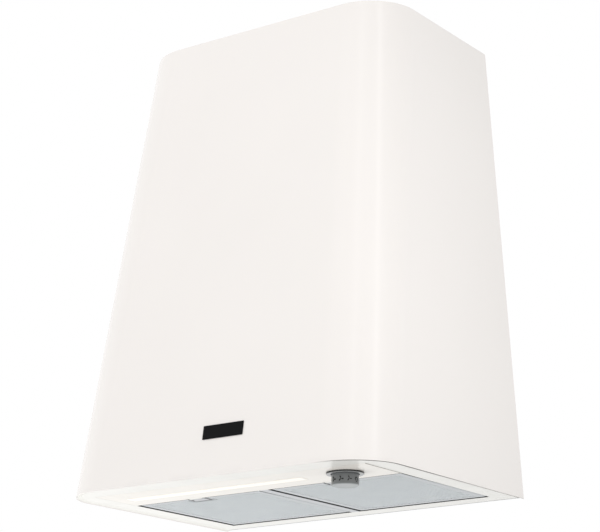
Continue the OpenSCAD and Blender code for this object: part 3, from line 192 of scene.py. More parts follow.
class Graph:
    """Adds nodes to one node tree, and joins them."""

    def __init__(self, tree: bpy.types.NodeTree) -> None:
        """Keeps the tree."""
        self.tree = tree

    def node(self, kind: str, settings: Optional[dict] = None, inputs: Optional[dict] = None,
             out: Union[int, str] = 0) -> Wire:
        """Adds a node.

        Args:
            kind: The node's type name.
            settings: The node's own options.
            inputs: Values or wires by socket name or number.
            out: The output to hand back.

        Returns:
            The wire of that output.
        """
        made = self.tree.nodes.new(kind)
        for key, value in (settings or {}).items():
            setattr(made, key, value)
        for key, value in (inputs or {}).items():
            self.feed(made.inputs[key], value)
        return Wire(self, made.outputs[out] if made.outputs else None)

    def feed(self, socket: bpy.types.NodeSocket, value: Input) -> None:
        """Joins a wire to a socket, or sets the socket's own value.

        Args:
            socket: The socket.
            value: A wire, or the socket's own value.
        """
        if isinstance(value, Wire):
            self.tree.links.new(value.socket, socket)
        else:
            socket.default_value = value

    def fed(self, socket: bpy.types.NodeSocket) -> Wire:
        """Gives the wire that a socket is fed by."""
        return Wire(self, socket.links[0].from_socket)

    def seen(self) -> Wire:
        """Is 1 for rays from the eye, straight, mirrored or through glass, and 0 for others."""
        path = self.node("ShaderNodeLightPath", out="Is Camera Ray")
        return path.larger(path.pick("Is Glossy Ray")).larger(path.pick("Is Transmission Ray"))

    def place(self) -> Wire:
        """Gives the surface point in the piece's own coordinates."""
        return self.node("ShaderNodeTexCoord", out="Object")

    def axes(self, point: Wire) -> tuple[Wire, Wire, Wire]:
        """Takes a point's three coordinates apart."""
        split = self.node("ShaderNodeSeparateXYZ", inputs={0: point})
        return split, split.pick("Y"), split.pick("Z")

    def stretch(self, point: Wire, factors: Sequence[float]) -> Wire:
        """Multiplies a point by one factor for each axis."""
        return self.node("ShaderNodeVectorMath", {"operation": "MULTIPLY"}, {0: point, 1: tuple(factors)})

    def noise(self, point: Wire, grain: Union[float, Sequence[float]], detail: float = 2.0) -> Wire:
        """Makes an even, cloudy pattern from 0 to 1.

        Args:
            point: The surface point.
            grain: The size of one cloud in metres, or its three sizes along x, y and z.
            detail: How many finer layers are laid over it.

        Returns:
            The pattern's value.
        """
        sizes = [grain] * 3 if isinstance(grain, float) else grain
        near = self.stretch(point, [1 / size for size in sizes])
        return self.node("ShaderNodeTexNoise", None, {"Vector": near, "Scale": 1.0, "Detail": detail})

    def cells(self, point: Wire, grain: float) -> Wire:
        """Makes a pattern of flat crystal-like cells, each with its own value from 0 to 1.

        Args:
            point: The surface point.
            grain: The size of one cell, in metres.

        Returns:
            The cells' values.
        """
        near = self.stretch(point, [1 / grain] * 3)
        cell = self.node("ShaderNodeTexVoronoi", None, {"Vector": near, "Scale": 1.0}, out="Color")
        return self.node("ShaderNodeSeparateColor", None, {0: cell})

    def blend(self, share: Input, first: Input, second: Input) -> Wire:
        """Mixes two colours by a share from 0 to 1."""
        settings = {"data_type": "RGBA"}
        return self.node("ShaderNodeMix", settings, {0: share, 6: first, 7: second}, out=2)

    def shade(self, share: Input, color: Color, low: float, high: float) -> Wire:
        """Varies one colour between two shares of itself.

        Args:
            share: Where between the two, from 0 to 1.
            color: The colour.
            low: Its share at 0.
            high: Its share at 1.

        Returns:
            The varied colour.
        """
        return self.blend(share, scaled(color, low), scaled(color, high))

    def coat(self, shader: Any, color: Wire, roughness: Wire, slope: Wire) -> None:
        """Feeds what changes over most surfaces.

        Args:
            shader: The shader's inputs.
            color: What feeds its colour.
            roughness: What feeds its roughness.
            slope: What feeds its slope.
        """
        for name, wire in (("Base Color", color), ("Roughness", roughness), ("Normal", slope)):
            self.feed(shader[name], wire)

    def relief(self, height: Wire, depth: float, strength: float = 1.0, under: Optional[Wire] = None) -> Wire:
        """Turns a height pattern into a surface slope.

        Args:
            height: The pattern from 0 to 1.
            depth: The height of a full step, in metres.
            strength: How much of the slope shows.
            under: The slope of a coarser relief below this one.

        Returns:
            The slope, for a shader's Normal.
        """
        inputs = {"Strength": strength, "Distance": depth, "Height": height}
        if under is not None:
            inputs["Normal"] = under
        return self.node("ShaderNodeBump", None, inputs)


class Grain(Enum):
    """The way that a metal's fine lines run."""

    ALONG_X = (0.06, 0.0003, 0.0003)
    ALONG_Y = (0.0003, 0.06, 0.0003)
    NONE = (0.0006, 0.0006, 0.0006)


@dataclass(frozen=True)
class Finish:
    """A surface finish, made once and shared by every piece that has it."""

    name: str
    color: Color
    roughness: float = 0.5
    ready: ClassVar[dict[str, bpy.types.Material]] = {}

    def material(self) -> bpy.types.Material:
        """Gives the finish as a material, and makes it at the first call.

        Returns:
            The material.
        """
        if self.name not in self.ready:
            made = bpy.data.materials.new("finish_" + self.name)
            made.use_nodes = True
            made.diffuse_color = self.color
            shader = made.node_tree.nodes["Principled BSDF"]
            self.dress(Graph(made.node_tree), shader.inputs)
            self.ready[self.name] = made
        return self.ready[self.name]

    def dress(self, graph: Graph, shader: Any) -> None:
        """Feeds the shader's sockets.

        Args:
            graph: The material's node graph.
            shader: The inputs of its shader.
        """
        raise NotImplementedError


@dataclass(frozen=True)
class Enamel(Finish):
    """Gloss stove enamel on sheet: a faint orange peel, and a film of wear near the lower edge."""

    peel: float = 0.0022
    peel_depth: float = 0.0000035
    worn_height: float = 0.012
    worn_share: float = 0.35

    def dress(self, graph: Graph, shader: Any) -> None:
        """Feeds colour, roughness and slope.

        Args:
            graph: The material's node graph.
            shader: The inputs of its shader.
        """
        point = graph.place()
        height = graph.axes(point)[2]
        cloud = graph.noise(point, 0.16, 3.0)
        speck = graph.noise(point, 0.0011, 1.0)
        wipe = graph.noise(point, [0.05, 0.05, 0.22], 4.0)
        film = (1.0 - height.step(EDGE_Z, EDGE_Z + self.worn_height)) * wipe.step(0.42, 0.7)
        paint = graph.shade(cloud, self.color, 0.982, 1.012)
        worn = graph.blend(film * self.worn_share, paint, scaled(self.color, 0.9))
        rough = self.roughness + 0.1 * (wipe - 0.5) + 0.05 * (speck - 0.5)
        graph.coat(shader, worn, rough, graph.relief(graph.noise(point, self.peel, 1.0), self.peel_depth))
        shader["IOR"].default_value = 1.5
        shader["Coat Weight"].default_value = 0.3
        shader["Coat Roughness"].default_value = 0.06


@dataclass(frozen=True)
class CasingEnamel(Enamel):
    """Enamel with a painted shadow line: a dark grey strip along the sheet's lower edge round the right front
    corner and along the right side, fading towards the rear, where the gap under the casing lies in shade.
    """

    edge: float = 0.0009
    # The dark grey of the painted shadow line.
    grey_shade: Color = (0.12, 0.117, 0.107, 1.0)
    shadow_from: float = 0.165
    shadow_full: float = 0.21
    fade_from: float = -0.31
    fade_full: float = -0.06
    fade: float = 0.75

    def dress(self, graph: Graph, shader: Any) -> None:
        """Feeds the enamel, then paints the shadow line along the lower edge.

        Args:
            graph: The material's node graph.
            shader: The inputs of its shader.
        """
        super().dress(graph, shader)
        paint = graph.fed(shader["Base Color"])
        x, y, height = graph.axes(graph.place())
        # Painted shadow: a thin dark line at the lower edge, full round the right front corner and weaker
        # towards the rear of the right side.
        line = 1.0 - height.step(EDGE_Z + 0.7 * self.edge, EDGE_Z + self.edge)
        corner = x.step(self.shadow_from, self.shadow_full)
        share = corner * (1.0 - self.fade * y.step(self.fade_from, self.fade_full))
        graph.feed(shader["Base Color"], graph.blend(line * share, paint, self.grey_shade))


@dataclass(frozen=True)
class PanelEnamel(Enamel):
    """Enamel on the underside's outer face: the folds above it are painted dark grey, partly as their own
    undercoat and partly as the shade in the gap by the casing, and the lips by the filters get a near-black
    painted shade.
    """

    face_height: float = FACE_Z
    lip_half: float = 0.2144
    lip_front: float = -0.2565
    # Dark undercoat grey, made dark enough to also paint the shade in the gap by the casing.
    primer_and_shade: Color = (0.14, 0.136, 0.122, 1.0)
    # Near-black painted shade for the lips by the filters.
    coat: Color = GAP_SHADE_COAT
    soft: float = 0.0002

    def dress(self, graph: Graph, shader: Any) -> None:
        """Feeds the enamel, then paints the folds dark grey and the lips near-black as shade.

        Args:
            graph: The material's node graph.
            shader: The inputs of its shader.
        """
        super().dress(graph, shader)
        paint = graph.fed(shader["Base Color"])
        point = graph.place()
        x, y, height = graph.axes(point)
        cloud = graph.noise(point, 0.02, 3.0)
        # Folds: undercoat grey with painted shade; lips: near-black painted shade.
        grey_shade = graph.shade(cloud, self.primer_and_shade, 0.85, 1.15)
        dark = graph.shade(cloud, self.coat, 0.7, 1.3)
        fold = height.step(self.face_height + 0.00015, self.face_height + 0.0004)
        between = 1.0 - x.size().step(self.lip_half, self.lip_half + self.soft)
        lip = between * y.step(self.lip_front, self.lip_front + self.soft)
        edge = height.step(self.face_height + 0.0001, self.face_height + 0.0003)
        graph.feed(shader["Base Color"], graph.blend(lip * edge, graph.blend(fold, paint, grey_shade), dark))


@dataclass(frozen=True)
class SatinMetal(Finish):
    """Rolled or brushed metal with fine lines, dull spots and small handling marks."""

    grain: Grain = Grain.NONE
    metal: float = 1.0
    contrast: float = 0.08
    depth: float = 0.000004

    def dress(self, graph: Graph, shader: Any) -> None:
        """Feeds colour, roughness and slope.

        Args:
            graph: The material's node graph.
            shader: The inputs of its shader.
        """
        point = graph.place()
        lines = graph.noise(point, self.grain.value, 2.0)
        cloud = graph.noise(point, 0.03, 3.0)
        metal = graph.shade(0.55 * lines + 0.45 * cloud, self.color, 1 - self.contrast, 1 + self.contrast)
        rough = self.roughness + 0.18 * (lines - 0.5) + 0.12 * (cloud - 0.5)
        graph.coat(shader, metal, rough, graph.relief(lines, self.depth))
        shader["Metallic"].default_value = self.metal


@dataclass(frozen=True)
class FlankedMetal(SatinMetal):
    """Satin metal on a bar's lower face, with near-black painted shade on its flanks, which face the gaps
    beside the filters.
    """

    half: float = 0.0063
    coat: Color = GAP_SHADE_COAT
    face_height: float = FACE_Z

    def dress(self, graph: Graph, shader: Any) -> None:
        """Feeds the metal, then paints shade on the flanks.

        Args:
            graph: The material's node graph.
            shader: The inputs of its shader.
        """
        super().dress(graph, shader)
        metal = graph.fed(shader["Base Color"])
        x, _, height = graph.axes(graph.place())
        # Painted shade: the flanks above the lower face turn near-black and lose their metal.
        flank = x.size().step(self.half, self.half + 0.0001)
        dark = flank * height.step(self.face_height + 0.0001, self.face_height + 0.0003)
        graph.feed(shader["Base Color"], graph.blend(dark, metal, self.coat))
        graph.feed(shader["Metallic"], self.metal * (1.0 - dark))


@dataclass(frozen=True)
class EdgedMetal(SatinMetal):
    """Satin metal whose upright outer walls get a dark grey painted shade, where they face the gaps round the
    filter.
    """

    # The dark grey of the painted shade on the walls.
    wall_shade_color: Color = (0.13, 0.13, 0.13, 1.0)
    near_half: float = 0.0103
    far_half: float = 0.2102
    front: float = -0.2517
    rear: float = -0.0356
    soft: float = 0.0001

    def dress(self, graph: Graph, shader: Any) -> None:
        """Feeds the metal, then paints shade on the walls.

        Args:
            graph: The material's node graph.
            shader: The inputs of its shader.
        """
        super().dress(graph, shader)
        metal = graph.fed(shader["Base Color"])
        _, _, upright = graph.axes(graph.node("ShaderNodeTexCoord", out="Normal"))
        x, y, _ = graph.axes(graph.place())
        far = x.size().step(self.far_half, self.far_half + self.soft)
        near = 1.0 - x.size().step(self.near_half - self.soft, self.near_half)
        rear = y.step(self.rear, self.rear + self.soft)
        front = 1.0 - y.step(self.front - self.soft, self.front)
        # Painted shade on the upright outer walls, which also lose their metal.
        wall = far.larger(near).larger(rear.larger(front)) * (1.0 - upright.size().step(0.3, 0.6))
        graph.feed(shader["Base Color"], graph.blend(wall, metal, self.wall_shade_color))
        graph.feed(shader["Metallic"], self.metal * (1.0 - wall))


@dataclass(frozen=True)
class Galvanised(Finish):
    """Zinc-coated sheet with its crystal spangle and a dull bloom."""

    spangle: float = 0.009
    depth: float = 0.000006

    def dress(self, graph: Graph, shader: Any) -> None:
        """Feeds colour, roughness and slope.

        Args:
            graph: The material's node graph.
            shader: The inputs of its shader.
        """
        point = graph.place()
        drift = graph.noise(point, 0.02, 2.0)
        crystal = graph.cells(point, self.spangle)
        fine = graph.cells(point, self.spangle * 0.37)
        bloom = graph.noise(point, 0.09, 4.0).step(0.5, 0.75)
        spark = 0.6 * crystal + 0.25 * fine + 0.15 * drift
        sheet = graph.shade(spark, self.color, 0.86, 1.1)
        dull = graph.blend(bloom * 0.4, sheet, scaled(self.color, 0.93))
        rough = self.roughness + 0.16 * (crystal - 0.5) + 0.15 * bloom
        graph.coat(shader, dull, rough, graph.relief(fine, self.depth))
        shader["Metallic"].default_value = 0.9


@dataclass(frozen=True)
class Moulded(Finish):
    """Moulded plastic or rubber with a fine spark-eroded grain and slight flow marks."""

    grain: float = 0.0005
    depth: float = 0.00002
    flow: float = 0.05
    dust: Color = tone(190, 187, 180)

    def dress(self, graph: Graph, shader: Any) -> None:
        """Feeds colour, roughness and slope.

        Args:
            graph: The material's node graph.
            shader: The inputs of its shader.
        """
        point = graph.place()
        grain = graph.noise(point, self.grain, 2.0)
        flow = graph.noise(point, [0.05, 0.02, 0.05], 3.0)
        dust = graph.noise(point, 0.012, 5.0).step(0.52, 0.8)
        body = graph.shade(flow, self.color, 1 - self.flow, 1 + self.flow)
        dusty = graph.blend(dust * 0.12, body, self.dust)
        rough = self.roughness + 0.1 * (grain - 0.5) + 0.15 * dust
        graph.coat(shader, dusty, rough, graph.relief(grain, self.depth))


@dataclass(frozen=True)
class PolishedPlate(Finish):
    """A gloss plate with a soft bloom and hairline wipe marks."""

    depth: float = 0.000002

    def dress(self, graph: Graph, shader: Any) -> None:
        """Feeds colour, roughness and slope.

        Args:
            graph: The material's node graph.
            shader: The inputs of its shader.
        """
        point = graph.place()
        wipe = graph.noise(point, [0.02, 0.004, 0.0006], 3.0)
        bloom = graph.noise(point, 0.012, 3.0)
        plate = graph.shade(bloom, self.color, 0.8, 1.25)
        rough = self.roughness + 0.1 * (wipe - 0.5) + 0.06 * (bloom - 0.5)
        graph.coat(shader, plate, rough, graph.relief(wipe, self.depth))
        shader["Specular IOR Level"].default_value = 0.06


@dataclass(frozen=True)
class Opal(Finish):
    """A lit opal lens: milky, a little brighter above each light source behind it."""

    glow: float = 0.5
    pitch: float = 0.0236
    middle: float = -0.048
    depth: float = 0.000008
    light_low: Color = tone(255, 246, 230)
    light_high: Color = tone(255, 251, 242)

    def dress(self, graph: Graph, shader: Any) -> None:
        """Feeds colour, glow, roughness and slope.

        Args:
            graph: The material's node graph.
            shader: The inputs of its shader.
        """
        point = graph.place()
        along = graph.axes(point)[0]
        wave = ((along - self.middle) * (2 * math.pi / self.pitch) + math.pi / 2).sine() * 0.5 + 0.5
        milk = graph.noise(point, 0.0025, 3.0)
        milky = graph.blend(milk, scaled(self.color, 0.96), self.color)
        graph.coat(shader, milky, self.roughness + 0.08 * (milk - 0.5), graph.relief(milk, self.depth))
        graph.feed(shader["Emission Color"], graph.blend(wave, self.light_low, self.light_high))
        shader["Emission Strength"].default_value = self.glow


@dataclass(frozen=True)
class LayeredFoil(Finish):
    """Slit and stretched aluminium foil: a lattice of bright strands, with the openings between them painted
    darker as the shade seen through them.
    """

    pitch_x: float = 0.0042
    pitch_y: float = 0.0027
    # The darker colour of the openings, a painted shade.
    dark: Color = (0.5, 0.525, 0.545, 1.0)
    depth: float = 0.0004

    def dress(self, graph: Graph, shader: Any) -> None:
        """Feeds colour, roughness, metal share and slope.

        Args:
            graph: The material's node graph.
            shader: The inputs of its shader.
        """
        point = graph.place()
        bend = graph.noise(point, 0.006, 2.0)
        x, y, _ = graph.axes(point)
        across = x / self.pitch_x + 0.35 * (bend - 0.5)
        along = y / self.pitch_y
        rise = ((across + along) * math.pi).sine().size()
        fall = ((across - along) * math.pi).sine().size()
        strand = 1.0 - (rise * fall).step(0.1, 0.6)
        # Painted shade: the openings between strands darken and lose part of their metal.
        sheet = graph.blend(strand, self.dark, self.color)
        graph.coat(shader, sheet, self.roughness + 0.2 * (bend - 0.5), graph.relief(strand, self.depth))
        graph.feed(shader["Metallic"], 0.5 + 0.5 * strand)


@dataclass(frozen=True)
class SpunMetal(Finish):
    """Turned metal round an upright axis, with fine rings, in two painted tones: a darker body that stands
    for shade, and a lighter face below one height that stands for light caught from below.
    """

    axis_x: float = 0.0
    axis_y: float = 0.0
    # The lighter tone below face_height, which paints light on that face against the darker, shaded body.
    lit_face_color: Color = (0.6, 0.6, 0.6, 1.0)
    face_height: float = -1.0
    metal: float = 0.85
    depth: float = 0.000003

    def dress(self, graph: Graph, shader: Any) -> None:
        """Feeds colour, roughness and slope.

        Args:
            graph: The material's node graph.
            shader: The inputs of its shader.
        """
        point = graph.place()
        x, y, z = graph.axes(point)
        out = ((x - self.axis_x) ** 2.0 + (y - self.axis_y) ** 2.0) ** 0.5
        ring = graph.node("ShaderNodeCombineXYZ", None, {0: out, 1: z, 2: 0.0})
        lines = graph.noise(ring, [0.00025, 0.00025, 1.0], 2.0)
        cloud = graph.noise(point, 0.008, 2.0)
        # Painted light and shade: the body colour above face_height, the lighter tone below it.
        face = 1.0 - z.step(self.face_height, self.face_height + 0.0008)
        body = graph.shade(lines, self.color, 0.9, 1.08)
        lit_face = graph.shade(lines, self.lit_face_color, 0.94, 1.05)
        rough = self.roughness + 0.16 * (lines - 0.5) + 0.08 * (cloud - 0.5)
        graph.coat(shader, graph.blend(face, body, lit_face), rough, graph.relief(lines, self.depth))
        shader["Metallic"].default_value = self.metal


@dataclass(frozen=True)
class Winding(Finish):
    """Enamelled copper wire wound in tight rows round the motor's axis, with painted shade in the grooves
    between turns.
    """

    wire: float = 0.0011
    depth: float = 0.0003

    def dress(self, graph: Graph, shader: Any) -> None:
        """Feeds colour, roughness and slope.

        Args:
            graph: The material's node graph.
            shader: The inputs of its shader.
        """
        point = graph.place()
        x, y, z = graph.axes(point)
        wander = graph.noise(point, 0.01, 2.0)
        row = ((x / self.wire + 0.6 * wander) * math.pi).sine().size()
        turn = (((y * y + z * z) ** 0.5 / self.wire) * math.pi).sine().size()
        round_wire = row.smaller(turn + 0.35)
        # Painted shade: the copper darkens to 35 % in the grooves between turns.
        copper = graph.blend(round_wire, scaled(self.color, 0.35), self.color)
        rough = self.roughness + 0.25 * (wander - 0.5)
        graph.coat(shader, copper, rough, graph.relief(round_wire, self.depth))
        shader["Metallic"].default_value = 0.8


@dataclass(frozen=True)
class Circuit(Finish):
    """Lacquered circuit board with faint copper tracks below the lacquer."""

    track: float = 0.0032
    depth: float = 0.00004

    def dress(self, graph: Graph, shader: Any) -> None:
        """Feeds colour, roughness and slope.

        Args:
            graph: The material's node graph.
            shader: The inputs of its shader.
        """
        point = graph.place()
        x, _, z = graph.axes(point)
        block = graph.cells(point, 0.014)
        across = block.step(0.49, 0.51)
        lanes = (x * across + z * (1.0 - across)) * (math.pi / self.track)
        track = lanes.sine().size().step(0.55, 0.7)
        lacquer = graph.blend(track, self.color, scaled(self.color, 1.9))
        graph.coat(shader, lacquer, self.roughness - 0.1 * track, graph.relief(track, self.depth))


class Looks:
    """The hood's finishes, each under the record's slot that it belongs to."""

    # The casing's enamel, with a painted shadow line along its lower edge.
    enamel = CasingEnamel("hood_enamel", tone(247, 243, 240), 0.24)
    # Both underside enamels carry painted shade on their folds and on the lips by the filters.
    underside = PanelEnamel("underside_enamel", tone(246, 245, 240), 0.36, worn_height=0.0)
    panel = PanelEnamel("panel_enamel", tone(249, 245, 238), 0.36, worn_height=0.0)
    zinc = Galvanised("zinc_sheet", (0.52, 0.54, 0.55, 1.0), 0.42)
    steel = SatinMetal("bright_steel", (0.55, 0.56, 0.57, 1.0), 0.34)
    # Painted shade on the filter frames' outer walls.
    filter_frame = EdgedMetal("filter_frame_aluminium", tone(206, 210, 213), 0.46, Grain.ALONG_X, 0.35)
    filter_net = SatinMetal("filter_net_aluminium", tone(240, 245, 249), 0.46, metal=0.35)
    # Painted shade in the foil's openings.
    foil = LayeredFoil("filter_foil", tone(242, 247, 251), 0.45)
    # Painted shade on the bar's flanks.
    bar = FlankedMetal("bar_aluminium", tone(212, 214, 217), 0.46, Grain.ALONG_Y, 0.45)
    edge_seal = Moulded("edge_seal", tone(248, 247, 242), 0.6)
    # Grey painted shade for the bead that draws the panel seam's shadow line.
    bead = Moulded("panel_bead", tone(196, 194, 188), 0.6)
    plate = PolishedPlate("dark_plate", (0.006, 0.006, 0.0065, 1.0), 0.35)
    opal = Opal("opal_lens", tone(252, 249, 242), 0.35, 0.16)
    dark_plastic = Moulded("dark_plastic", tone(62, 62, 65), 0.55)
    grey_plastic = Moulded("grey_plastic", tone(150, 152, 155), 0.5)
    latch_plastic = Moulded("latch_plastic", tone(200, 202, 205), 0.45)
    wheel_plastic = Moulded("wheel_plastic", tone(112, 136, 164), 0.5)
    box_plastic = Moulded("box_plastic", tone(232, 233, 230), 0.45)
    rubber = Moulded("mount_rubber", tone(42, 42, 43), 0.75, depth=0.00003)
    sheath = Moulded("lead_sheath", tone(60, 60, 62), 0.6)
    winding = Winding("copper_winding", (0.5, 0.2, 0.07, 1.0), 0.35)
    board = Circuit("circuit_board", tone(32, 96, 62), 0.4)
    lamp_board = Moulded("lamp_board_lacquer", tone(240, 240, 236), 0.4)
    chip = Moulded("lamp_chip", tone(248, 214, 110), 0.3, grain=0.0002)
    ink = Moulded("printed_ink", tone(16, 17, 18), 0.8, grain=0.0002, depth=0.000004)
    # Dark plastic, also standing for the shade seen at both ends of the latch.
    carrier = Moulded("latch_carrier", tone(34, 35, 36), 0.7)

    slots = {
        "cream_paint": enamel, "galvanised_sheet": zinc, "steel": steel, "filter_aluminium": filter_frame,
        "satin_silver": steel, "dark_plate": plate, "opal_lens": opal, "dark_plastic": dark_plastic,
        "grey_plastic": grey_plastic, "latch_plastic": latch_plastic, "wheel_plastic": wheel_plastic,
        "box_plastic": box_plastic, "rubber": rubber, "lead_sheath": sheath, "winding": winding,
        "board": board, "lamp_board": lamp_board, "led": chip,
    }


def part_slot(node: str) -> str:
    """Looks up the record's material slot of a part."""
    return next(part["material_slot"] for part in frame["record"]["subparts"] if part["node"] == node)


def link_object(name: str, data: Any) -> bpy.types.Object:
    """Puts a mesh, light or camera into the scene as an object.

    Args:
        name: The object's name.
        data: What it holds.

    Returns:
        The object.
    """
    made = bpy.data.objects.new(name, data)
    bpy.context.scene.collection.objects.link(made)
    return made


def set_finish(mesh: bpy.types.Mesh, finish: Finish) -> None:
    """Gives a mesh its one finish."""
    mesh.materials.clear()
    mesh.materials.append(finish.material())


def add_piece(name: str, mesh: bpy.types.Mesh, finish: Finish, body: str,
              parts: Sequence[str] = ()) -> bpy.types.Object:
    """Puts a finished mesh into the scene as a piece.

    Args:
        name: The piece's name.
        mesh: Its mesh, in the parts' frame.
        finish: Its finish.
        body: The moving body that it belongs to.
        parts: The parts that it stands for.

    Returns:
        The piece.
    """
    piece = link_object(name, mesh)
    set_finish(mesh, finish)
    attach(piece, body)
    if parts:
        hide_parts(*parts)
    log.info("%s: %d faces on %s", name, len(mesh.polygons), body)
    return piece


def dress_part(node: str, finish: Finish) -> None:
    """Gives a part that stays as it is its finish."""
    set_finish(frame["nodes"][node].data, finish)
    log.info("%s: keeps its shape, finish %s", node, finish.name)


def evaluated_mesh(holder: bpy.types.Object) -> bpy.types.Mesh:
    """Turns an object with modifiers into a plain mesh, and removes the object.

    Args:
        holder: The object.

    Returns:
        The mesh.
    """
    ready = holder.evaluated_get(bpy.context.evaluated_depsgraph_get())
    mesh = bpy.data.meshes.new_from_object(ready)
    bpy.data.objects.remove(holder)
    return mesh


def smooth(mesh: bpy.types.Mesh, angle: float = 35.0) -> bpy.types.Mesh:
    """Shades a mesh smooth, apart from edges sharper than an angle in degrees.

    Args:
        mesh: The mesh to shade.
        angle: The angle past which an edge stays sharp, in degrees.

    Returns:
        The same mesh.
    """
    mesh.shade_smooth()
    mesh.set_sharp_from_angle(angle=math.radians(angle))
    return mesh


def from_bmesh(work: bmesh.types.BMesh, name: str, angle: float = 35.0) -> bpy.types.Mesh:
    """Ends mesh work.

    Args:
        work: The mesh being made. It is freed.
        name: The new mesh's name.
        angle: The angle past which an edge stays sharp, in degrees.

    Returns:
        The mesh, with faces outwards and smooth shading.
    """
    bmesh.ops.recalc_face_normals(work, faces=work.faces)
    mesh = bpy.data.meshes.new(name)
    work.to_mesh(mesh)
    work.free()
    return smooth(mesh, angle)


def bevelled(mesh: bpy.types.Mesh, width: float, steps: int = 3, angle: float = 40.0) -> bpy.types.Mesh:
    """Rounds a mesh's edges.

    Args:
        mesh: The mesh with sharp edges.
        width: How far the rounding goes in from an edge, in metres.
        steps: Faces across a rounded edge.
        angle: The angle from which an edge is rounded, in degrees.

    Returns:
        The rounded mesh.
    """
    mesh.shade_smooth()
    holder = link_object(mesh.name + "_holder", mesh)
    bevel = holder.modifiers.new("edges", "BEVEL")
    bevel.width = width
    bevel.segments = steps
    bevel.limit_method = "ANGLE"
    bevel.angle_limit = math.radians(angle)
    bevel.harden_normals = True
    return evaluated_mesh(holder)


def rounded_copy(node: str, width: float, steps: int = 3, angle: float = 40.0, roll: float = 0.0,
                 lift: float = 0.0) -> bpy.types.Mesh:
    """Copies a part's mesh with its edges rounded.

    Args:
        node: The part.
        width: How far the rounding goes in from an edge, in metres.
        steps: Faces across a rounded edge.
        angle: The angle from which an edge is rounded, in degrees.
        roll: The larger radius at the left, right and rear of its lower face, or 0 for none.
        lift: How far a rolled part's lower face is drawn in, in metres.

    Returns:
        The rounded mesh.
    """
    source = frame["nodes"][node].data
    mesh = bpy.data.meshes.new(node + "_rounded")
    mesh.from_pydata([v.co[:] for v in source.vertices], [], [p.vertices[:] for p in source.polygons])
    work = bmesh.new()
    work.from_mesh(mesh)
    bmesh.ops.remove_doubles(work, verts=work.verts, dist=0.000003)
    bmesh.ops.dissolve_limit(work, angle_limit=math.radians(0.6), verts=work.verts, edges=work.edges)
    if roll:
        rim = lower_rim(work)
        lowest = min(v.co.z for v in work.verts)
        for vert in work.verts:
            if vert.co.z < lowest + 0.00005:
                vert.co.z += lift
        bmesh.ops.bevel(work, geom=rim, offset=roll, segments=5, profile=0.5, affect="EDGES")
    work.to_mesh(mesh)
    work.free()
    return bevelled(mesh, width, steps, angle)


def add_rounded(name: str, node: str, width: float, finish: Finish, body: str = "hood",
                steps: int = 3) -> None:
    """Adds a part's rounded copy in its place.

    Args:
        name: The piece's name.
        node: The part that it stands for.
        width: How far the rounding goes in from an edge, in metres.
        finish: The piece's finish.
        body: The moving body that it belongs to.
        steps: Faces across a rounded edge.
    """
    add_piece(name, rounded_copy(node, width, steps), finish, body, [node])


def lower_rim(work: bmesh.types.BMesh) -> list[bmesh.types.BMEdge]:
    """The long edges at the left, right and rear of a mesh's lowest face.

    Args:
        work: The mesh being made.

    Returns:
        Those edges.
    """
    near, long = 0.00005, 0.02
    lowest = min(v.co.z for v in work.verts)
    base = [v for v in work.verts if v.co.z < lowest + near]
    sides = [(axis, pick(v.co[axis] for v in base)) for axis, pick in ((0, min), (0, max), (1, max))]
    found = []
    for edge in work.edges:
        ends = [v.co for v in edge.verts]
        flat = all(end.z < lowest + near for end in ends) and edge.calc_length() > long
        if flat and any(all(abs(end[axis] - side) < near for end in ends) for axis, side in sides):
            found.append(edge)
    return found


def stitch(work: bmesh.types.BMesh, rows: Sequence[Sequence[bmesh.types.BMVert]], around: bool = False,
           closed: bool = False) -> None:
    """Joins rows of equally many points with faces.

    Args:
        work: The mesh being made.
        rows: The rows, in order.
        around: True where each row is a ring.
        closed: True where the last row joins the first.
    """
    count = len(rows[0])
    after = [*rows[1:], rows[0]] if closed else rows[1:]
    for row, following in zip(rows, after):
        for k in range(count if around else count - 1):
            k2 = (k + 1) % count
            work.faces.new([row[k], row[k2], following[k2], following[k]])


def circle(steps: int) -> list[float]:
    """The angles of evenly spaced points on a circle, in radians."""
    return [2 * math.pi * k / steps for k in range(steps)]


def turning_axis(size: Sequence[float]) -> int:
    """The axis of a round solid, across which its other two sizes agree best."""
    return min(range(3), key=lambda k: abs(size[(k + 1) % 3] - size[(k + 2) % 3]))


def add_prism(work: bmesh.types.BMesh, outline: Outline, near: float, far: float) -> None:
    """Adds a solid with the same outline from front to back.

    Args:
        work: The mesh being made.
        outline: Millimetres to the right and above the lower edge, for each corner.
        near: Its front end, in millimetres from the wall.
        far: Its rear end.
    """
    front = [work.verts.new(mm(x, near, z)) for x, z in outline]
    rear = [work.verts.new(mm(x, far, z)) for x, z in outline]
    work.faces.new(front)
    work.faces.new(rear[::-1])
    stitch(work, [front, rear], around=True)


def add_box(work: bmesh.types.BMesh, low: Sequence[float], high: Sequence[float]) -> None:
    """Adds a box between two corners, in millimetres as mm() takes them."""
    outline = [(low[0], low[2]), (high[0], low[2]), (high[0], high[2]), (low[0], high[2])]
    add_prism(work, outline, low[1], high[1])


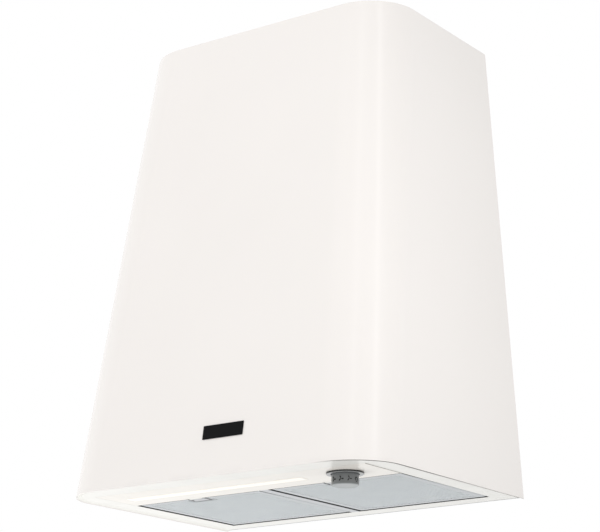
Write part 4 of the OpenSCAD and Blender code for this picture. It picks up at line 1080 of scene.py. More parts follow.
def turned(profile: Outline, axis: Vector, steps: int = 96, closed: bool = False) -> bmesh.types.BMesh:
    """Turns a profile round an upright axis.

    Args:
        profile: Radius and height of each point, in millimetres, height above the casing's lower edge.
        axis: A point on the axis, in metres.
        steps: Faces round the axis.
        closed: True where the profile is a closed loop, else both ends lie on the axis.

    Returns:
        The turned mesh, still open for work.
    """
    work = bmesh.new()
    rings = []
    for radius, height in profile:
        z = (height - EDGE_HEIGHT) * MM
        if radius == 0:
            rings.append([work.verts.new((axis.x, axis.y, z))])
            continue
        r = radius * MM
        ring = [(axis.x + r * math.cos(a), axis.y + r * math.sin(a), z) for a in circle(steps)]
        rings.append([work.verts.new(spot) for spot in ring])
    for low, high in zip(rings, rings[1:] + rings[:1] if closed else rings[1:]):
        for k in range(steps):
            first = [low[k % len(low)], low[(k + 1) % len(low)]]
            second = [high[(k + 1) % len(high)], high[k % len(high)]]
            work.faces.new(list(dict.fromkeys(first + second)))
    return work


def arc(middle: tuple[float, float], radius: float, start: float, end: float, steps: int) -> Outline:
    """Points on an arc.

    Args:
        middle: The arc's centre.
        radius: Its radius.
        start: Its first angle in degrees.
        end: Its last angle in degrees.
        steps: Stretches along it.

    Returns:
        The points, both ends included.
    """
    angles = [math.radians(start + (end - start) * k / steps) for k in range(steps + 1)]
    return [(middle[0] + radius * math.cos(a), middle[1] + radius * math.sin(a)) for a in angles]


class Recipe(Graph):
    """A tree of steps with named inputs that makes a mesh."""

    def __init__(self, name: str) -> None:
        """Starts a tree that takes a mesh and gives one.

        Args:
            name: The tree's name.
        """
        tree = bpy.data.node_groups.new(name, "GeometryNodeTree")
        super().__init__(tree)
        tree.interface.new_socket("Geometry", in_out="INPUT", socket_type="NodeSocketGeometry")
        tree.interface.new_socket("Geometry", in_out="OUTPUT", socket_type="NodeSocketGeometry")
        self.entry = tree.nodes.new("NodeGroupInput")
        self.keys: dict[str, str] = {}

    def ask(self, name: str, kind: str) -> Wire:
        """Adds a named input.

        Args:
            name: The input's name.
            kind: Float, Int, Vector, Object or Material.

        Returns:
            Its wire inside the tree.
        """
        made = self.tree.interface.new_socket(name, in_out="INPUT", socket_type="NodeSocket" + kind)
        self.keys[name] = made.identifier
        return Wire(self, self.entry.outputs[name])

    def source(self) -> Wire:
        """The mesh that comes in."""
        return Wire(self, self.entry.outputs["Geometry"])

    def together(self, shapes: Sequence[Wire]) -> Wire:
        """Joins several shapes into one.

        Args:
            shapes: The shapes to join.

        Returns:
            The joined shape.
        """
        both = self.tree.nodes.new("GeometryNodeJoinGeometry")
        for shape in shapes:
            self.tree.links.new(shape.socket, both.inputs[0])
        return Wire(self, both.outputs[0])

    def end(self, shape: Wire, finish: Wire) -> None:
        """Closes the tree: instances become real, and the finish is set.

        Args:
            shape: What the tree has made.
            finish: The finish that it gets.
        """
        real = self.node("GeometryNodeRealizeInstances", None, {"Geometry": shape})
        done = self.node("GeometryNodeSetMaterial", None, {"Geometry": real, "Material": finish})
        leave = self.tree.nodes.new("NodeGroupOutput")
        self.tree.links.new(done.socket, leave.inputs["Geometry"])

    def run(self, mesh: bpy.types.Mesh, values: dict[str, Any]) -> bpy.types.Mesh:
        """Runs the tree on a mesh.

        Args:
            mesh: The mesh that goes in.
            values: A value for each named input.

        Returns:
            The mesh that comes out.
        """
        holder = link_object(self.tree.name + "_holder", mesh)
        modifier = holder.modifiers.new("recipe", "NODES")
        modifier.node_group = self.tree
        for name, value in values.items():
            modifier[self.keys[name]] = value
        return evaluated_mesh(holder)


def shape_object(name: str, mesh: bpy.types.Mesh) -> bpy.types.Object:
    """Holds a mesh that a recipe repeats, out of sight.

    Args:
        name: The object's name.
        mesh: The mesh to repeat.

    Returns:
        The object.
    """
    made = link_object(name, mesh)
    made.hide_render = True
    return made


@dataclass
class Casing:
    """The painted casing: front and both sides in one bent sheet with a turned-up lower hem."""

    bottom_w: float = 497.0
    top_w: float = 424.0
    bottom_d: float = 388.0
    top_d: float = 270.0
    height: float = 652.0
    corner_r: float = 73.0
    sheet: float = 1.0
    hem: float = 9.0
    corner_steps: int = 40
    flange_w: float = 16.0
    flange_low: float = 17.0
    flange_high: float = 639.0
    flange_y: float = -1.2

    def half_width(self, z: float) -> float:
        """Half the casing's outside width at a height."""
        return (self.bottom_w - (self.bottom_w - self.top_w) * z / self.height) / 2

    def depth(self, z: float) -> float:
        """The casing's outside depth at a height."""
        return self.bottom_d - (self.bottom_d - self.top_d) * z / self.height

    def outline(self, z: float, inset: float) -> list[Vector]:
        """The plan of the sheet at a height.

        Args:
            z: The height above the lower edge.
            inset: How far inside the outer face.

        Returns:
            Points from the rear left round the front to the rear right.
        """
        w = self.half_width(z) - inset
        d = self.depth(z) - inset
        r = self.corner_r - inset
        guard = 3.0
        left = arc((r - w, r - d), r, 180, 270, self.corner_steps)
        right = arc((w - r, r - d), r, 270, 360, self.corner_steps)
        plan = [(-w, 0.0), (-w, -guard), (-w, r - d + guard), *left, (r - w + guard, -d)]
        plan += [(w - r - guard, -d), *right, (w, r - d + guard), (w, -guard), (w, 0.0)]
        return [mm(x, y, z) for x, y in plan]

    def section(self) -> Outline:
        """Inset and height of the sheet's closed section: round hem, outer face, round top, inner face.

        Returns:
            The section's points, in order.
        """
        t = self.sheet
        hem = [(2 * t, 1.2 * t)] + arc((0.3 * t, 0.3 * t), 0.3 * t, 300, 180, 6)
        top = arc((t / 2, self.height - t / 2), t / 2, 180, 0, 6)
        outer = [(0.0, 2.5), (0.0, self.height - 2.5)]
        inner = [(t, self.height - 2.5), (t, self.hem + 1.5), (t, self.hem)]
        turn = arc((2 * t - 0.4, self.hem - 0.4), 0.4, 90, 0, 3)
        return hem + outer + top + inner + turn

    def mesh(self) -> bpy.types.Mesh:
        """Makes the sheet with its rear flanges.

        Returns:
            The casing's mesh.
        """
        work = bmesh.new()
        rows = [[work.verts.new(p) for p in self.outline(z, inset)] for inset, z in self.section()]
        stitch(work, rows, closed=True)
        work.faces.new([row[0] for row in rows])
        work.faces.new([row[-1] for row in rows])
        for side in (-1, 1):
            self.add_flange(work, side)
        return from_bmesh(work, "casing_skin", 30)

    def add_flange(self, work: bmesh.types.BMesh, side: int) -> None:
        """Adds one rear flange, which the back plate is screwed to.

        Args:
            work: The mesh being made.
            side: -1 for left, 1 for right.
        """
        corners = []
        for z in (self.flange_low, self.flange_high):
            edge = self.half_width(z) - self.sheet / 2
            for y in (self.flange_y, self.flange_y - self.sheet):
                corners += [work.verts.new(mm(side * x, y, z)) for x in (edge, edge - self.flange_w)]
        for face in ((0, 1, 3, 2), (4, 5, 7, 6), (0, 1, 5, 4), (2, 3, 7, 6), (0, 2, 6, 4), (1, 3, 7, 5)):
            work.faces.new([corners[k] for k in face])

    def build(self) -> None:
        """Adds the casing."""
        add_piece("casing_skin", self.mesh(), Looks.enamel, "hood", ["casing"])


@dataclass
class Underside:
    """The painted underside: frame, control panel and the bar between the filters."""

    casing: Casing
    frame_round: float = 0.0003
    panel_round: float = 0.0003
    bar_round: float = 0.0004
    seal_in: float = 2.05
    seal_out: float = 7.2
    seal_low: float = 1.1
    seal_slope: float = 1.3
    seal_high: float = 4.4
    bead_low: float = 1.4
    bead_high: float = 2.6
    bead_gap: float = 0.02
    bead_w: float = 0.46
    seal_rear: float = -2.6

    def seal_mesh(self) -> bpy.types.Mesh:
        """The pale sloped seal in the gap along the left side and the front.

        Returns:
            The seal's mesh.
        """
        work = bmesh.new()
        section = [(self.seal_in, self.seal_low), (self.seal_out, self.seal_low + self.seal_slope),
                   (self.seal_out, self.seal_high), (self.seal_in, self.seal_high)]
        rows = []
        for inset, z in section:
            points = self.casing.outline(z, inset)[:-self.casing.corner_steps - 4]
            for point in points:
                point.y = min(point.y, self.seal_rear * MM)
            rows.append([work.verts.new(point) for point in points])
        stitch(work, rows, closed=True)
        work.faces.new([row[0] for row in rows])
        work.faces.new([row[-1] for row in rows])
        bmesh.ops.remove_doubles(work, verts=work.verts, dist=0.000001)
        return from_bmesh(work, "edge_seal", 30)

    def bead_mesh(self) -> bpy.types.Mesh:
        """The thin grey bead in the seam at the control panel's right end; its grey is painted shade that
        draws the seam's shadow line.

        Returns:
            The bead's mesh.
        """
        low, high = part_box("control_panel")
        seam = high.x / MM
        work = bmesh.new()
        left, right = seam + self.bead_gap, seam + self.bead_gap + self.bead_w
        add_box(work, (left, low.y / MM + 1, self.bead_low), (right, high.y / MM, self.bead_high))
        return bevelled(from_bmesh(work, "panel_bead"), 0.0001, 2)

    def build(self) -> None:
        """Adds the three pieces with rounded folds, the seal and the bead."""
        add_piece("edge_seal", self.seal_mesh(), Looks.edge_seal, "hood")
        add_piece("panel_bead", self.bead_mesh(), Looks.bead, "hood")
        add_rounded("underside_frame", "bottom_frame", self.frame_round, Looks.underside)
        add_rounded("underside_panel", "control_panel", self.panel_round, Looks.panel)
        add_rounded("filter_bar", "center_bar", self.bar_round, Looks.bar)


@dataclass
class Lamp:
    """The strip lamp: an opal lens in the panel, with its housing, board and chips behind it."""

    lens_round: float = 0.0005

    def build(self) -> None:
        """Adds the lens and dresses what is behind it."""
        add_rounded("lamp_glass", "lamp_lens", self.lens_round, Looks.opal)
        dress_part("lamp_housing", Looks.zinc)
        dress_part("lamp_board", Looks.lamp_board)
        dress_part("led_chips", Looks.chip)
        dress_part("lamp_nuts", Looks.steel)


class Mark(Enum):
    """The printed marks round the knob."""

    FAN_BOLD = 1.25
    FAN_MEDIUM = 1.05
    FAN_LIGHT = 0.8
    LAMP = 0.0
    OFF = -1.0


@dataclass
class Knob:
    """The rotary knob with its printed marks, and the flat ring round it."""

    x: float = 158.0
    y: float = -300.0
    radius: float = 17.3
    low: float = -15.0
    high: float = 1.2
    edge_r: float = 1.3
    ring_out: float = 24.0
    ring_in: float = 18.3
    ring_low: float = -0.6
    ring_high: float = 2.0
    ring_edge: float = 0.7
    mark_height: float = -7.8
    mark_size: float = 3.7
    mark_step: float = 36.0
    mark_turn: float = -3.0
    marks: tuple[Mark, ...] = (
        Mark.OFF, Mark.FAN_BOLD, Mark.FAN_BOLD, Mark.FAN_MEDIUM, Mark.FAN_LIGHT, Mark.LAMP,
    )

    def finish(self) -> Finish:
        """The knob's turned finish, painted darker on its side as shade and lighter on its lower face as
        reflected light.
        """
        return SpunMetal("knob_metal", (0.2, 0.21, 0.215, 1.0), 0.36, self.x * MM, self.y * MM,
                         tone(172, 176, 178), (self.low + 0.7 - EDGE_HEIGHT) * MM, 0.25)

    def ring_finish(self) -> Finish:
        """The ring's turned finish, painted near-black above its lower face as the shadow between ring and
        panel.
        """
        return SpunMetal("ring_metal", (0.05, 0.05, 0.05, 1.0), 0.3, self.x * MM, self.y * MM,
                         tone(176, 178, 178), (self.ring_low + 0.05 - EDGE_HEIGHT) * MM)

    def knob_mesh(self) -> bpy.types.Mesh:
        """Turns the knob's profile: a shallow dish below, a rounded edge, a plain side.

        Returns:
            The knob's mesh.
        """
        r, low = self.radius, self.low
        dish = [(0.0, low + 0.35), (r * 0.5, low + 0.28), (r - 3.2, low + 0.12), (r - 2.4, low)]
        edge = arc((r - self.edge_r, low + self.edge_r), self.edge_r, 270, 360, 8)
        top = arc((r - 0.4, self.high - 0.4), 0.4, 0, 90, 4)
        profile = dish + edge + [(r, low + 2.6), (r, self.high - 1.4)] + top + [(0.0, self.high)]
        return from_bmesh(turned(profile, mm(self.x, self.y, 0)), "knob_body")

    def ring_mesh(self) -> bpy.types.Mesh:
        """Turns the ring's profile, with rounded edges below.

        Returns:
            The ring's mesh.
        """
        soft = self.ring_edge
        rim = arc((self.ring_out - soft, self.ring_low + soft), soft, 270, 360, 6)
        inner = arc((self.ring_in + soft, self.ring_low + soft), soft, 180, 270, 6)
        profile = inner + rim + [(self.ring_out, self.ring_high), (self.ring_in, self.ring_high)]
        return from_bmesh(turned(profile, mm(self.x, self.y, 0), closed=True), "knob_ring")

    def petals(self, weight: float) -> list[Outline]:
        """Outlines of a three-bladed fan.

        Args:
            weight: How broad each blade is, from 0 to 1.

        Returns:
            One outline for each blade, in millimetres round the middle.
        """
        shapes = []
        for blade in range(3):
            turn = math.radians(105 + 120 * blade)
            petal = []
            for a in circle(14):
                along = 0.53 + 0.47 * math.cos(a)
                side = 0.27 * weight * math.sin(a) * (0.7 + 0.3 * along) + 0.12 * along * along
                u = self.mark_size * (along * math.cos(turn) - side * math.sin(turn))
                v = self.mark_size * (along * math.sin(turn) + side * math.cos(turn))
                petal.append((u, v))
            shapes.append(petal)
        return shapes

    def band(self, out: float, inner: float, start: float, end: float) -> list[Outline]:
        """Outlines of a ring or part of one, as short pieces.

        Args:
            out: The outer radius.
            inner: The inner radius.
            start: The first angle in degrees.
            end: The last angle in degrees.

        Returns:
            One outline for each piece.
        """
        steps = 16
        outside = arc((0, 0), out, start, end, steps)
        inside = arc((0, 0), inner, start, end, steps)
        return [[outside[k], outside[k + 1], inside[k + 1], inside[k]] for k in range(steps)]

    def outlines(self, mark: Mark) -> list[Outline]:
        """The outlines that draw one mark.

        Args:
            mark: The mark.

        Returns:
            Its outlines, in millimetres round the mark's middle.
        """
        s = self.mark_size
        if mark is Mark.OFF:
            return self.band(s * 0.75, s * 0.5, 0, 360)
        if mark is Mark.LAMP:
            foot = [(-0.3 * s, -1.0 * s), (0.3 * s, -1.0 * s), (0.3 * s, -0.74 * s), (-0.3 * s, -0.74 * s)]
            return self.band(s * 0.76, s * 0.4, -60, 240) + [foot]
        return self.petals(mark.value)

    def marks_mesh(self) -> bpy.types.Mesh:
        """Wraps all marks round the knob's side, as thin raised ink.

        Returns:
            The marks' mesh.
        """
        work = bmesh.new()
        count = len(self.marks)
        for place, mark in enumerate(self.marks):
            middle = (place - (count - 1) / 2) * self.mark_step + self.mark_turn
            for outline in self.outlines(mark):
                self.add_ink(work, outline, math.radians(middle))
        return from_bmesh(work, "knob_marks", 30)

    def add_ink(self, work: bmesh.types.BMesh, outline: Outline, middle: float) -> None:
        """Adds one closed outline of ink.

        Args:
            work: The mesh being made.
            outline: Its points, in millimetres round the mark's middle.
            middle: The mark's angle round the knob from the front, in radians.
        """
        layers = []
        for radius in (self.radius - 0.12, self.radius + 0.05):
            layer = []
            for u, v in outline:
                a = middle + u / self.radius
                spot = mm(self.x + radius * math.sin(a), self.y - radius * math.cos(a), self.mark_height + v)
                layer.append(work.verts.new(spot))
            layers.append(layer)
        work.faces.new(layers[0])
        work.faces.new(layers[1])
        stitch(work, layers, around=True)

    def build(self) -> None:
        """Adds knob, marks and ring, and dresses the switch behind them."""
        add_piece("knob_body", self.knob_mesh(), self.finish(), "knob", ["knob"])
        add_piece("knob_marks", self.marks_mesh(), Looks.ink, "knob")
        add_piece("knob_ring", self.ring_mesh(), self.ring_finish(), "hood", ["knob_collar"])
        dress_part("switch_spindle", Looks.steel)
        dress_part("rotary_switch", Looks.dark_plastic)
        dress_part("switch_nut", Looks.steel)


class Side(Enum):
    """The two filters."""

    LEFT = -1
    RIGHT = 1

    @property
    def label(self) -> str:
        """The side's name in part names."""
        return self.name.lower()


class NetRecipe(Recipe):
    """Stretched metal: knuckles on two staggered grids, left out where the latch sits."""

    def __init__(self) -> None:
        """Builds the tree."""
        super().__init__("stretched_net")
        width, depth = self.ask("Width", "Float"), self.ask("Depth", "Float")
        columns, rows = self.ask("Columns", "Int"), self.ask("Rows", "Int")
        middle, half_step = self.ask("Middle", "Vector"), self.ask("Half step", "Vector")
        clear_middle, clear_half = self.ask("Clear middle", "Float"), self.ask("Clear half width", "Float")
        clear_edge = self.ask("Clear edge", "Float")
        knuckle, finish = self.ask("Knuckle", "Object"), self.ask("Finish", "Material")
        sizes = {"Size X": width, "Size Y": depth, "Vertices X": columns, "Vertices Y": rows}
        grid = self.node("GeometryNodeMeshGrid", None, sizes, out="Mesh")
        second = self.node("GeometryNodeTransform", None, {"Geometry": grid, "Translation": half_step})
        points = self.node("GeometryNodeMeshToPoints", None, {"Mesh": self.together([grid, second])})
        spot = self.node("GeometryNodeInputPosition")
        x, y, _ = self.axes(spot)
        below = {"operation": "LESS_THAN"}
        near = self.node("FunctionNodeCompare", below, {0: (x - clear_middle).size(), 1: clear_half})
        low = self.node("FunctionNodeCompare", below, {0: y, 1: clear_edge})
        shut = self.node("FunctionNodeBooleanMath", {"operation": "AND"}, {0: near, 1: low})
        cleared = {"Geometry": points, "Selection": shut}
        kept = self.node("GeometryNodeDeleteGeometry", {"domain": "POINT"}, cleared)
        shape = self.node("GeometryNodeObjectInfo", None, {"Object": knuckle}, out="Geometry")
        net = self.node("GeometryNodeInstanceOnPoints", None, {"Points": kept, "Instance": shape})
        placed = self.node("GeometryNodeTransform", None, {"Geometry": net, "Translation": middle})
        self.end(placed, finish)


class CoilRecipe(Recipe):
    """A coil spring along y."""

    def __init__(self) -> None:
        """Builds the tree."""
        super().__init__("coil_spring")
        turns, radius = self.ask("Turns", "Float"), self.ask("Radius", "Float")
        length, wire = self.ask("Length", "Float"), self.ask("Wire radius", "Float")
        start, finish = self.ask("Start", "Vector"), self.ask("Finish", "Material")
        sizes = {"Resolution": 24, "Rotations": turns, "Start Radius": radius, "End Radius": radius,
                 "Height": length}
        path = self.node("GeometryNodeCurveSpiral", None, sizes)
        ring = self.node("GeometryNodeCurvePrimitiveCircle", None, {"Resolution": 10, "Radius": wire})
        tube = self.node("GeometryNodeCurveToMesh", None,
                         {"Curve": path, "Profile Curve": ring, "Fill Caps": True})
        laid = self.node("GeometryNodeTransform", None,
                         {"Geometry": tube, "Translation": start, "Rotation": (-math.pi / 2, 0.0, 0.0)})
        self.end(laid, finish)


@dataclass
class FilterUnit:
    """One hinged grease filter: frame, stretched net, foil layers, latch and latch spring."""

    side: Side
    net_recipe: NetRecipe
    coil_recipe: CoilRecipe
    rim_roll: float = 1.8
    rim_lift: float = 0.4
    net_low: float = 2.5
    net_t: float = 0.55
    crown: float = 0.3
    cell_x: float = 6.0
    cell_y: float = 3.6
    strand: float = 0.72
    net_margin: float = 8.0
    clear_half: float = 20.5
    clear_depth: float = 24.3
    edge_round: float = 0.0004
    spring_turns: float = 9.0
    spring_r: float = 1.6
    spring_wire: float = 0.28
    travel: float = 6.0
    carrier_long: float = 15.0
    cap_long: float = 14.6
    cap_gap: float = 0.2
    cap_dish: float = 0.55
    cap_half: float = 11.6
    cap_t: float = 0.9
    carrier_half: float = 14.7
    skirt: float = 0.7
    tongue_half: float = 7.0
    lip_half: float = 9.8
    lip_out: float = 7.8
    lip_in: float = 0.4
    lip_t: float = 1.0
    tongue_t: float = 1.6
    hollow: float = 5.4
    face: float = 2.0

    def carrier_mesh(self, part: str) -> bpy.types.Mesh:
        """The latch's dark carrier: a core under the cap, a skirt on each side and guide wings; its dark
        plastic also paints the shade at the latch's ends.

        Args:
            part: The latch's part name.

        Returns:
            The carrier's mesh.
        """
        low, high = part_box(part)
        x = (low.x + high.x) / 2 / MM
        wing = (high.x - low.x) / 2 / MM
        top = high.z / MM + EDGE_HEIGHT
        rear = high.y / MM
        front = rear - self.carrier_long
        core, outer, inner = self.cap_half - 0.3, self.carrier_half, self.carrier_half - self.skirt
        shelf, floor, cap = self.face + 1.9, self.face + 0.35, self.face + self.cap_t
        half = [(core, cap), (core, self.hollow), (inner, self.hollow), (inner, floor), (outer, floor),
                (outer, shelf), (wing, shelf), (wing, top)]
        outline = [(x - dx, z) for dx, z in half][::-1] + [(x + dx, z) for dx, z in half]
        work = bmesh.new()
        add_prism(work, outline, front, rear)
        return bevelled(from_bmesh(work, part + "_carrier"), 0.0002, 2)

    def cap_mesh(self, part: str) -> bpy.types.Mesh:
        """The latch's light parts: the cap with a dished finger grip, and the tongue.

        Args:
            part: The latch's part name.

        Returns:
            The cap's mesh.
        """
        low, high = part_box(part)
        x = (low.x + high.x) / 2 / MM
        rear = high.y / MM - self.cap_gap
        front = rear - self.cap_long
        steps = 14
        work = bmesh.new()
        columns = []
        for k in range(steps + 1):
            share = k / steps
            y = front + (rear - front) * share
            sink = self.cap_dish * math.sin(math.pi * min(1.0, max(0.0, (share - 0.15) / 0.7))) ** 2
            heights = (self.face + sink, self.face + self.cap_t + sink * 0.2)
            sides = (x - self.cap_half, x + self.cap_half)
            columns.append([[work.verts.new(mm(side, y, z)) for side in sides] for z in heights])
        for first, second in zip(columns, columns[1:]):
            for level in (0, 1):
                work.faces.new([first[level][0], first[level][1], second[level][1], second[level][0]])
            for side in (0, 1):
                work.faces.new([first[0][side], first[1][side], second[1][side], second[0][side]])
        for end in (columns[0], columns[-1]):
            work.faces.new([end[0][0], end[0][1], end[1][1], end[1][0]])
        top, half = high.z / MM + EDGE_HEIGHT - 0.05, self.tongue_half
        add_box(work, (x - half, low.y / MM, top - self.tongue_t), (x + half, front + 1.0, top))
        return bevelled(from_bmesh(work, part + "_cap", 50), 0.00015, 2, 60)

    def lip_mesh(self, part: str) -> bpy.types.Mesh:
        """The small plate on the filter's front wall that closes the panel's notch before the latch.

        Args:
            part: The latch's part name.

        Returns:
            The plate's mesh.
        """
        low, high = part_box(part)
        x = (low.x + high.x) / 2 / MM
        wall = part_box("filter_" + self.side.label + "_frame")[0].y / MM
        front_corner = (x - self.lip_half, wall - self.lip_out, self.face)
        rear_corner = (x + self.lip_half, wall + self.lip_in, self.face + self.lip_t)
        work = bmesh.new()
        add_box(work, front_corner, rear_corner)
        return bevelled(from_bmesh(work, part + "_lip"), 0.0003, 3)

    def knuckle(self) -> bpy.types.Object:
        """One knot of the net with its four half strands, a little crowned towards the kitchen.

        Returns:
            The knot, held out of sight.
        """
        half_x, half_y, w = self.cell_x / 4, self.cell_y / 4, self.strand / 2
        slant = math.hypot(half_x, half_y)
        across = (-half_y / slant * w, half_x / slant * w)
        outline = []
        for sx, sy in ((1, 1), (-1, 1), (-1, -1), (1, -1)):
            tip = (sx * half_x, sy * half_y)
            side = (across[0] * sx, across[1] * sy)
            pair = [(tip[0] - side[0], tip[1] - side[1]), (tip[0] + side[0], tip[1] + side[1])]
            outline += pair if sx * sy > 0 else pair[::-1]
            notch = (0.0, sy * w * 1.5) if sx * sy > 0 else (sx * w * 2.4, 0.0)
            outline.append(notch)
        work = bmesh.new()
        layers = []
        for up in (0.0, self.net_t):
            layer = []
            for k, (x, y) in enumerate(outline):
                lift = -self.crown if k % 3 == 2 else 0.0
                layer.append(work.verts.new((x * MM, y * MM, (up + lift) * MM)))
            crown = work.verts.new((0, 0, (up - self.crown) * MM))
            for k in range(len(layer)):
                work.faces.new([layer[k], layer[(k + 1) % len(layer)], crown])
            layers.append(layer)
        for k in range(len(outline)):
            if k % 3 != 0:
                following = (k + 1) % len(outline)
                work.faces.new([layers[0][k], layers[0][following], layers[1][following], layers[1][k]])
        return shape_object("net_knuckle", from_bmesh(work, "net_knuckle", 50))

    def net_mesh(self) -> bpy.types.Mesh:
        """Stretches the net over the filter's opening, with its edges below the frame's lips.

        Returns:
            The net's mesh.
        """
        low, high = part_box("filter_" + self.side.label + "_mesh")
        middle, span = (low + high) / 2 / MM, (high - low) / MM
        latch_low, latch_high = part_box("latch_" + self.side.label)
        columns = int((span.x - 2 * self.net_margin) // self.cell_x) + 1
        rows = int((span.y - 2 * self.net_margin) // self.cell_y) + 1
        depth = (rows - 1) * self.cell_y
        shape = self.knuckle()
        values = {
            "Width": (columns - 1) * self.cell_x * MM, "Depth": depth * MM, "Columns": columns, "Rows": rows,
            "Middle": mm(middle.x - self.cell_x / 4, middle.y - self.cell_y / 4, self.net_low + self.crown),
            "Half step": (self.cell_x / 2 * MM, self.cell_y / 2 * MM, 0.0),
            "Clear middle": (latch_low.x + latch_high.x) / 2 - middle.x * MM,
            "Clear half width": self.clear_half * MM,
            "Clear edge": (self.clear_depth - span.y / 2) * MM,
            "Knuckle": shape, "Finish": Looks.filter_net.material(),
        }
        mesh = self.net_recipe.run(bpy.data.meshes.new("net_seed"), values)
        bpy.data.objects.remove(shape)
        return mesh

    def spring_mesh(self) -> bpy.types.Mesh:
        """Coils the latch spring.

        Returns:
            The spring's mesh.
        """
        low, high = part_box("latch_" + self.side.label + "_spring")
        wire = self.spring_wire * MM
        values = {
            "Turns": self.spring_turns, "Radius": self.spring_r * MM, "Wire radius": wire,
            "Length": high.y - low.y - 2 * wire,
            "Start": ((low.x + high.x) / 2, low.y + wire, (low.z + high.z) / 2),
            "Finish": Looks.steel.material(),
        }
        return smooth(self.coil_recipe.run(bpy.data.meshes.new("spring_seed"), values), 50)

    def build(self) -> None:
        """Adds the filter's pieces."""
        name = "filter_" + self.side.label
        latch = "latch_" + self.side.label
        rim = rounded_copy(name + "_frame", self.edge_round, roll=self.rim_roll * MM, lift=self.rim_lift * MM)
        add_piece(name + "_rim", rim, Looks.filter_frame, name, [name + "_frame"])
        net = self.net_mesh()
        add_piece(name + "_net", net, Looks.filter_net, name, [name + "_mesh"])
        dress_part(name + "_foil", Looks.foil)
        add_piece(latch + "_carrier", self.carrier_mesh(latch), Looks.carrier, latch, [latch])
        add_piece(latch + "_cap", self.cap_mesh(latch), Looks.latch_plastic, latch)
        add_piece(name + "_lip", self.lip_mesh(latch), Looks.edge_seal, name)
        coil = self.spring_mesh()
        spring = add_piece(latch + "_coil", coil, Looks.steel, name, [latch + "_spring"])
        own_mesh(spring)


@dataclass
class Badge:
    """The small gloss plate on the front, left blank."""

    edge_round: float = 0.00045

    def build(self) -> None:
        """Adds the plate with rounded edges."""
        add_rounded("front_plate", "badge", self.edge_round, Looks.plate, steps=4)


@dataclass
class TopFittings:
    """The top cover, the duct collar with its flaps, and the gland for the mains lead."""

    cover_round: float = 0.0003
    collar_round: float = 0.0005

    def build(self) -> None:
        """Adds the rounded pieces and dresses the rest."""
        add_rounded("top_lid", "top_cover", self.cover_round, Looks.enamel)
        for node in ("collar_flange", "outlet_collar", "cable_gland"):
            add_rounded(node + "_moulding", node, self.collar_round, Looks.dark_plastic)
        for node in ("flap_rear", "flap_front"):
            add_rounded(node + "_leaf", node, self.cover_round, Looks.grey_plastic, node)
        dress_part("flap_pin", Looks.steel)


@dataclass
class RubberMounts:
    """The four waisted rubber mounts between blower and brackets."""

    belly: float = 0.9
    steps: int = 48

    def build(self) -> None:
        """Turns each mount over the solid that it stands for, with rounded lips and a waist."""
        work = bmesh.new()
        for low, high in islands("rubber_mounts"):
            self.add_mount(work, low, high)
        mesh = from_bmesh(work, "rubber_bobbins")
        add_piece("rubber_bobbins", mesh, Looks.rubber, "hood", ["rubber_mounts"])

    def add_mount(self, work: bmesh.types.BMesh, low: Vector, high: Vector) -> None:
        """Adds one mount.

        Args:
            work: The mesh being made.
            low: The solid's lowest corner.
            high: The solid's highest corner.
        """
        middle, size = (low + high) / 2, high - low
        axis = turning_axis(size)
        radius, length = size[(axis + 1) % 3] / 2, size[axis]
        bore, lip = radius * 0.36, radius * 0.12
        waist = self.belly * MM
        half = [(radius - waist, 0.2), (radius, 0.3), (radius, 0.44), (radius - lip, 0.5), (bore, 0.5)]
        stations = [(r, -share) for r, share in half[::-1]] + half
        rings = []
        for r, share in stations:
            ring = []
            for a in circle(self.steps):
                spot = middle.copy()
                spot[axis] += share * length
                spot[(axis + 1) % 3] += r * math.cos(a)
                spot[(axis + 2) % 3] += r * math.sin(a)
                ring.append(work.verts.new(spot))
            rings.append(ring)
        stitch(work, rings, around=True, closed=True)


def part_arrays(node: str) -> tuple[np.ndarray, np.ndarray]:
    """Gives a part's points and triangles with doubles merged.

    Args:
        node: The part.

    Returns:
        The points, and the triangles as rows of point numbers.
    """
    mesh = frame["nodes"][node].data
    points = np.array([v.co[:] for v in mesh.vertices])
    faces = np.array([p.vertices[:3] for p in mesh.polygons])
    merged, number = np.unique(np.round(points, 6), axis=0, return_inverse=True)
    return merged, number.reshape(-1)[faces]


def solids(node: str) -> list[np.ndarray]:
    """Splits a part into its separate solids.

    Args:
        node: The part.

    Returns:
        The points of each solid.
    """
    points, faces = part_arrays(node)
    group = np.arange(len(points))
    while True:
        lowest = group[faces].min(axis=1)
        following = group.copy()
        for column in range(3):
            np.minimum.at(following, faces[:, column], lowest)
        if np.array_equal(following, group):
            break
        group = following
    return [points[group == key] for key in np.unique(group)]


def islands(node: str) -> list[tuple[Vector, Vector]]:
    """The lowest and highest corner of each solid of a part."""
    return [(Vector(p.min(axis=0)), Vector(p.max(axis=0))) for p in solids(node)]


